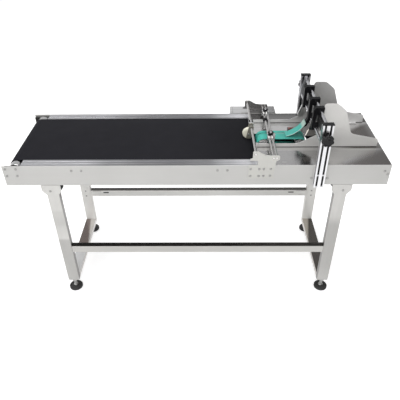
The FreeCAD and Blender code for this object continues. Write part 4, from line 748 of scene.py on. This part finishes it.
def plate(outline, low, high, axis, bevel):
    """Plate of one outline: rings along the axis, drawn in by a quarter round at both faces."""
    turn = np.array([0.0, 0.5, 1.0]) * math.pi / 2
    inset = bevel * (1 - np.sin(turn))
    depth = bevel * (1 - np.cos(turn))
    rings = [(inset[k], low + depth[k]) for k in range(3)] + [(inset[k], high - depth[k]) for k in (2, 1, 0)]
    flat = np.stack([np.column_stack([shrunk(outline, pull), np.full(len(outline), at)]) for pull, at in rings])
    order = {"z": (0, 1, 2), "y": (0, 2, 1), "x": (2, 0, 1)}[axis]
    points = flat[..., order]
    count = len(outline)
    caps = (np.arange(count)[::-1], np.arange(count) + count * (len(rings) - 1))
    return shell(points, grid_faces(len(rings), count), caps)


def block(low, high, bevel, corner):
    """Machined block with rounded upright corners and eased rims."""
    (x0, y0, z0), (x1, y1, z1) = low, high
    return plate(rectangle(x0, y0, x1, y1, corner, 4), z0, z1, "z", bevel)


def belt_loop(left, right, radius, thickness, low, high, level, ease=0.0008):
    """Flat belt: a rectangle with eased corners carried round two half circles and two straight runs."""
    run, bend = np.linspace(0, 1, 40, endpoint=False), np.linspace(0, math.pi, 30, endpoint=False)
    width, ones = right - left, np.ones(40)
    x = np.concatenate([left + run * width, right + bend * 0, right - run * width, left + bend * 0])
    out_x = np.concatenate([run * 0, np.sin(bend), run * 0, -np.sin(bend)])
    out_z = np.concatenate([ones, np.cos(bend), -ones, -np.cos(bend)])
    path = np.stack([x, np.zeros_like(x), np.full_like(x, level)], -1)
    out = np.stack([out_x, np.zeros_like(x), out_z], -1)
    section = rounded_outline([(low, radius, ease * 0.6), (high, radius, ease * 0.6),
                               (high, radius + thickness, ease), (low, radius + thickness, ease)], 4)
    top = section[:, 1].argmax()
    section = np.concatenate([section[top:], section[:top]])
    across, lift = section[:, 0], section[:, 1]
    points = path[:, None, :] + lift[None, :, None] * out[:, None, :] + across[None, :, None] * np.array([0, 1, 0])
    return shell(points, grid_faces(len(x), len(section), close_rows=True))


def eased(node, finish, width):
    """The node's own sheet or block, merged and given a fine round along its folds and cut edges."""
    mesh = frame["nodes"][node].data.copy()
    merge_mesh(mesh, 1e-5, bend=0.4)
    piece = place_piece(node + "_finished", mesh, BODY_OF[node], finish, (node,), EASED_CREASE)
    rim = piece.modifiers.new("eased_edges", "BEVEL")
    rim.width = width
    rim.segments = 2
    rim.limit_method = "ANGLE"
    rim.angle_limit = math.radians(EASED_CREASE)
    rim.harden_normals = True
    rim.use_clamp_overlap = True


def eased_all(*rows):
    """Rows of (finish, width, names of nodes)."""
    for finish, width, names in rows:
        for node in names.split():
            eased(node, finish, width)


def bar(node, body, finish, half, radius, x, z, steps):
    """Round bar along Y with eased ends."""
    ease = 0.0008
    rows = [(-half, 0), (-half, radius - ease), (-half + ease, radius), (half - ease, radius),
            (half, radius - ease), (half, 0)]
    make_piece(node + "_bar", body, finish, [turned(rows, (x, 0, z), "y", steps)], (node,))


# ------------ stand
eased_all(("leg_left", 0.0008, "leg_front_left"), ("leg_right", 0.0008, "leg_front_right"),
          ("leg_rear", 0.0008, "leg_rear_left leg_rear_right"), ("rail_x", 0.0012, "stretcher_front"),
          ("rail_rear", 0.0012, "stretcher_rear"), ("rail_left", 0.0012, "end_rail_left"),
          ("rail_right", 0.0012, "end_rail_right"))

fittings, slots = [], []
for side in (-1, 1):
    middle, slot = 0.5200 * side, 0.472 * side
    cover = rectangle(middle - 0.024, 0.2335, middle + 0.024, 0.2615, 0.003)
    fittings.append(plate(cover, 0.1955, 0.1974, "y", 0.0005))
    slots.append(plate(rectangle(slot - 0.014, 0.2500, slot + 0.014, 0.2555, 0.0024), 0.1968, 0.1974, "y", 0.0002))
plugs = []
for side, foot in ((-1, 0.5590), (1, 0.5720)):
    corners = [(0.5420 * side, foot, 0.0008), (0.5420 * side, 0.5893, 0.0008), (0.5305 * side, 0.5893, 0.0008),
               (0.5315 * side, foot + 0.014, 0.0008)]
    plugs.append(plate(rounded_outline(corners if side > 0 else corners[::-1]), -0.2160, -0.2040, "y", 0.0005))
make_piece("leg_edge_plugs", "table", "rubber", plugs)
make_piece("stretcher_fittings", "table", "rail_rear", fittings)
make_piece("stretcher_slots", "table", "black", slots)

PAD_ROWS = [(0, 0), (0, 0.026), (0.0006, 0.0282), (0.0022, 0.0297), (0.0034, 0.030), (0.0096, 0.030),
            (0.0112, 0.0295), (0.0125, 0.0280), (0.0130, 0.0262), (0.0127, 0.0248), (0.0108, 0.0236),
            (0.0106, 0.0216), (0.0120, 0.0180), (0.0132, 0.0136), (0.0138, 0.0112), (0.0138, 0)]
STEM_ROWS = [(0.0136, 0), (0.0136, 0.0100), (0.0146, 0.0106), (0.0170, 0.0098), (0.0186, 0.0098),
             (0.0204, 0.0086), (0.0219, 0.0066), (0.0222, 0.0056), (0.0222, 0)]
HEXAGON, CHAMFER = flats(6), flats(6, 0.94)
NUT_ROWS = [(0.0428, 0), (0.0428, 0.0104), (0.0442, 0.0127, CHAMFER), (0.0456, 0.0127, HEXAGON),
            (0.0518, 0.0127, HEXAGON), (0.0532, 0.0127, CHAMFER), (0.0546, 0.0104), (0.0546, 0)]
RIBS = waves(24, 0.025, 0.5)
PAD_ROWS = [(*row, RIBS) if 0.003 < row[0] < 0.0113 and row[1] > 0.029 else row for row in PAD_ROWS]
for end, x in (("left", -LEG_X), ("right", LEG_X)):
    for face, y in (("front", -LEG_Y), ("rear", LEG_Y)):
        node, spot = "foot_%s_%s" % (face, end), (x, y, 0)
        make_piece(node + "_pad", node, "rubber", [turned(PAD_ROWS, spot, "z", 96)], (node,))
        make_piece(node + "_stud", node, "bolt",
                   [turned(STEM_ROWS, spot, "z", 36), spiral(0.0215, 0.094, 0.006, 0.0025, 0.0007, spot),
                    turned(NUT_ROWS, spot, "z", 48)], (node,))

# ------------ table body
eased_all(("panel", 0.0005, "side_panel_front side_panel_rear"), ("bracket", 0.0006, "bracket_front"),
          ("bracket_rear", 0.0006, "bracket_rear"), ("strip", 0.0004, "edge_strip_front edge_strip_rear"),
          ("deck", 0.0005, "deck_plate"), ("cheek_front", 0.0004, "cheek_front"),
          ("cheek_rear", 0.0004, "cheek_rear"), ("tail_block", 0.0006, "tail_block_front tail_block_rear"),
          ("roller", 0.0006, "drum_mount_front drum_mount_rear"))


def button_head(radius, height, socket):
    """Rows of a button-head screw: domed rim, flat land and a hexagon socket."""
    return [(0, 0), (0, radius), (height * 0.30, radius), (height * 0.62, radius * 0.93),
            (height * 0.86, radius * 0.78), (height, radius * 0.60), (height, radius * 0.52),
            (height * 0.96, socket, HEXAGON), (height * 0.30, socket, HEXAGON), (height * 0.2, 0)]


PANEL_HEADS = [(-0.738, 0.666), (-0.738, 0.635), (-0.697, 0.666), (-0.697, 0.635), (-0.482, 0.658),
               (-0.444, 0.658), (0.084, 0.658), (0.122, 0.658), (0.450, 0.621), (0.512, 0.621),
               (0.728, 0.652), (0.742, 0.638), (-0.583, 0.5617), (0.583, 0.5617)]
BRACKET_HEADS = [(x, z) for x in (0.211, 0.244, 0.262, 0.288) for z in (0.666, 0.635)]
heads, small_heads = [], []
for side in (-1, 1):
    spots = [(x, z, PANEL_FACE) for x, z in PANEL_HEADS]
    spots += [(x, z, BRACKET_FACE) for x, z in BRACKET_HEADS] if side < 0 else []
    rows = mirrored(button_head(0.005, 0.003, 0.0024), side)
    heads += [turned(rows, (x, out * side, z), "y", 24) for x, z, out in spots]
    rows = mirrored(button_head(0.004, 0.0024, 0.002), -1)
    small_heads += [turned(rows, (0.576 * side, 0.1975, z), "y", 24) for z in (0.2620, 0.2320)]
make_piece("panel_screw_heads", "table", "bolt", heads, ("panel_bolts",))
make_piece("rear_leg_screw_heads", "table", "bolt", small_heads)

# ------------ conveyor
make_piece("conveyor_belt_cover", "table", "belt",
           [belt_loop(TAIL_X, DRUM_X, 0.028, 0.002, -0.175, 0.175, level=BELT_AXIS_Z)], ("conveyor_belt",))
TUBE_ROWS = [(-0.2045, 0.0155), (-0.2045, 0.0265), (-0.2035, 0.0277), (0.2035, 0.0277), (0.2045, 0.0265),
             (0.2045, 0.0155)]
HUB_ROWS = [(0.2000, 0), (0.2000, 0.0154), (0.2030, 0.0154), (0.2036, 0.0146), (0.2030, 0.0120), (0.2034, 0.0090),
            (0.2044, 0.0080), (0.2165, 0.0080), (0.2165, 0)]
for node, x in (("tail_roller", TAIL_X), ("drive_drum", DRUM_X)):
    spot = (x, 0, BELT_AXIS_Z)
    make_piece(node + "_shell", node, "roller", [turned(TUBE_ROWS, spot, "y", 72, closed=True)], (node,))
    hubs = [turned(mirrored(HUB_ROWS, side), spot, "y", 40) for side in (-1, 1)]
    make_piece(node + "_hubs", node, "black", hubs, (node,))

# ------------ feeder
for node, low, high in (("feed_belt_front", -0.042, 0.006), ("feed_belt_rear", 0.012, 0.028)):
    loop = belt_loop(FEED_LEFT_X, FEED_RIGHT_X, 0.0245, 0.0025, low, high, level=FEED_AXIS_Z, ease=0.0009)
    make_piece(node + "_cover", "table", "green", [loop], (node,))
eased_all(("deck", 0.0005, "feed_frame"), ("eye", 0.0012, "photo_eye"))
lens = [(0, 0), (0, 0.0046), (0.0008, 0.0050), (0.0016, 0.0046), (0.0022, 0.0034), (0.0025, 0.0018), (0.0025, 0)]
make_piece("photo_eye_lens", "table", "lens", [turned(lens, (0.401, 0.046, 0.6960), "z", 32)])

for node, x, z in (("exit_rod", EXIT_ROD_X, EXIT_ROD_Z), ("cross_rod_left", TWIN_LEFT_X, TWIN_Z),
                   ("cross_rod_right", TWIN_RIGHT_X, TWIN_Z)):
    bar(node, "table", "rod", 0.2265, 0.0050, x, z, 36)
for node, x, z in (("guide_rod_upper", 0.480, 0.844), ("guide_rod_lower", 0.467, 0.777)):
    bar(node, "gate", "guide_rod", 0.2222, 0.0060, x, z, 40)

# Press arm: two cheeks with a waist, the wheel's pin and a split clamp with its screws.
arm_ring = rounded_outline([(0.207, 0.684, 0.002), (0.226, 0.684, 0.002), (0.233, 0.7044, 0.008),
                            (0.2365, 0.732, 0.004), (0.2365, 0.741, 0.004), (0.2185, 0.741, 0.004),
                            (0.2155, 0.732, 0.004), (0.213, 0.7164, 0.006), (0.210, 0.7044, 0.006)], 5)
pin = [(-0.0233, 0), (-0.0233, 0.0030), (-0.0227, 0.0038), (-0.0207, 0.0040), (0.0083, 0.0040), (0.0083, 0)]
# The cheeks' dark olive is painted shade, standing for the shaded side of the cream wheel.
make_piece("press_arm_cheeks", "press_arm", "olive",
           [plate(arm_ring, -0.0203, -0.0153, "y", 0.0007), plate(arm_ring, 0.0033, 0.0083, "y", 0.0007)],
           ("press_arm",))
CLAMP_SCREW_ROWS = [(0, 0), (0, 0.0031), (0.0020, 0.0031), (0.0028, 0.0026), (0.0028, 0.0015, HEXAGON),
                    (0.0010, 0.0015, HEXAGON), (0.0008, 0)]
clamp_screws = [turned(CLAMP_SCREW_ROWS, (x, y, 0.7432), "z", 24)
                for y in (0.0140, 0.0265) for x in (0.2215, 0.2335)]
make_piece("press_arm_clamp", "press_arm", "chrome",
           [block((0.2175, 0.0083, 0.723), (0.2375, 0.0323, 0.7432), 0.0009, 0.0012),
            turned(pin, (WHEEL_X, 0, WHEEL_Z), "y", 28)], ("press_arm",))
make_piece("press_arm_clamp_screws", "press_arm", "knob", clamp_screws, ("press_arm",))
grip = [(-0.0090, 0.0041), (-0.0090, 0.0188), (-0.0086, 0.0204), (-0.0076, 0.0218), (-0.0060, 0.0230),
        (-0.0034, 0.0238), (0, 0.0240), (0.0034, 0.0238), (0.0060, 0.0230), (0.0076, 0.0218), (0.0086, 0.0204),
        (0.0090, 0.0188), (0.0090, 0.0041)]
make_piece("press_wheel_tyre", "press_wheel", "cream",
           [turned(grip, (WHEEL_X, -0.006, WHEEL_Z), "y", 72, closed=True)], ("press_wheel",))


def thumb_knob(node, y):
    """Knurled ring with a dished top round a bright screw."""
    spot = (THUMB_X, y, THUMB_Z)
    knurl = waves(36, 0.055, 0.7)
    rows = [(0, 0), (0, 0.0030), (0.0025, 0.0030), (0.0025, 0.0096), (0.0032, 0.0110, knurl),
            (0.0042, 0.0120, knurl), (0.0083, 0.0120, knurl), (0.0094, 0.0112, knurl), (0.0100, 0.0098),
            (0.0099, 0.0080), (0.0092, 0.0070), (0.0090, 0)]
    make_piece(node + "_ring", node, "knob", [turned(rows, spot, "z", 144)], (node,))
    screw = [(0.0086, 0), (0.0086, 0.0052), (0.0096, 0.0052), (0.0100, 0.0047), (0.0100, 0.0026, HEXAGON),
             (0.0092, 0.0024, HEXAGON), (0.0092, 0)]
    make_piece(node + "_screw", node, "chrome", [turned(screw, spot, "z", 36)], (node,))


thumb_knob("separator_knob", -0.0545)
thumb_knob("rod_block_knob", 0.158)
eased_all(("chrome", 0.0008, "separator_block"), ("roller", 0.0008, "separator_blade"),
          ("chrome", 0.0008, "rod_block"))
collar = [(-0.006, 0.0051), (-0.006, 0.0092), (-0.0052, 0.0100), (0.0052, 0.0100), (0.006, 0.0092), (0.006, 0.0051)]
make_piece("rod_stop_collar", "table", "black",
           [turned(collar, (TWIN_LEFT_X, 0.088, TWIN_Z), "y", 40, closed=True)])

# ------------ posts and gate
eased_all(("post_front", 0.0003, "post_front"), ("post_rear", 0.0003, "post_rear"))
slot_bars = [block((x - 0.0036, -0.2420, low), (x + 0.0036, -0.2375, high), 0.0005, 0.0005)
             for x in (0.468, 0.488) for low, high in ((0.5902, 0.5965), (0.6425, 0.6490))]
make_piece("post_slot_bars", "table", "strip", slot_bars)
eased_all(("black", 0.0008, "post_caps"), ("gate_bar", 0.0008, "gate_crossbar"),
          ("guide_front", 0.0008, "side_guide_front"), ("guide_rear", 0.0008, "side_guide_rear"),
          ("gate", 0.0008, "entry_guide"))


def entry_surface():
    """Rubber strip on an arc: (x, z) = centre + r * (sin a, -cos a), its section an eased rectangle in (r, y)."""
    angle = np.radians(np.linspace(12.0, 64.0, 44))
    radius, start = 0.110, math.radians(12.0)
    centre_x, centre_z = 0.370 - radius * math.sin(start), 0.697 + radius * math.cos(start)
    section = rectangle(-0.028, 0.107, 0.012, radius, 0.0008, 4)
    y, reach = section[:, 0], section[:, 1]
    x = centre_x + reach[None, :] * np.sin(angle)[:, None]
    z = centre_z - reach[None, :] * np.cos(angle)[:, None]
    points = np.stack([x, np.broadcast_to(y, x.shape), z], -1)
    ring = np.arange(len(section))
    caps = (ring[::-1], ring + len(ring) * (len(angle) - 1))
    return shell(points, grid_faces(len(angle), len(ring)), caps)


make_piece("entry_strip_rubber", "gate", "entry", [entry_surface()], ("entry_strip",))

LOBE = waves(7, 0.17, 0.75)
for node, side in (("star_knob_front", -1), ("star_knob_rear", 1)):
    rows = [(0.0003, 0), (0.0003, 0.0105), (0.0010, 0.0110), (0.0078, 0.0110), (0.0080, 0.0195, LOBE),
            (0.0088, 0.0218, LOBE), (0.0108, 0.0229, LOBE), (0.0150, 0.0230, LOBE), (0.0215, 0.0230, LOBE),
            (0.0242, 0.0222, LOBE), (0.0256, 0.0206, LOBE), (0.0260, 0.0186, LOBE),
            (0.0257, 0.0168, waves(7, 0.10)), (0.0246, 0.0150), (0.0240, 0.0110), (0.0246, 0.0090),
            (0.0256, 0.0080), (0.0259, 0.0060), (0.0260, 0)]
    spot = (POST_X, POST_FACE * side, STAR_Z)
    make_piece(node + "_grip", node, "knob", [turned(mirrored(rows, side), spot, "y", 140)], (node,))
    stud = mirrored([(-0.0323, 0), (-0.0323, 0.0034), (-0.0315, 0.0040), (0.0003, 0.0040), (0.0003, 0)], side)
    make_piece(node + "_stud", node, "bolt", [turned(stud, spot, "y", 24)], (node,))

# ------------ electrics
eased("control_box", "box", 0.0010)
cover_screws = [turned(button_head(0.0035, 0.0020, 0.0017), (x, y, 0.6819), "z", 24)
                for x in (0.163, 0.256, 0.350) for y in (0.2345, 0.2865)]
make_piece("cover_screws", "table", "bolt", cover_screws)
socket_rim = rectangle(0.2140, 0.2490, 0.2400, 0.2720, 0.003)
pins = [turned([(0.5985, 0), (0.5990, 0.0016), (0.6090, 0.0018), (0.6090, 0)], (x, y, 0), "z", 20)
        for x, y in ((0.2210, 0.2570), (0.2330, 0.2570), (0.2270, 0.2650))]
make_piece("inlet_plate", "table", "black", [plate(socket_rim, 0.6085, 0.6115, "z", 0.0005)])
make_piece("inlet_pins", "table", "chrome", pins)

# ------------ ramp, and nodes that keep their own mesh
eased("ramp_wedge", "ramp", 0.0008)
dress("panel", "belt_bed")
dress("roller", "feed_drive_roller", "feed_idler_roller")
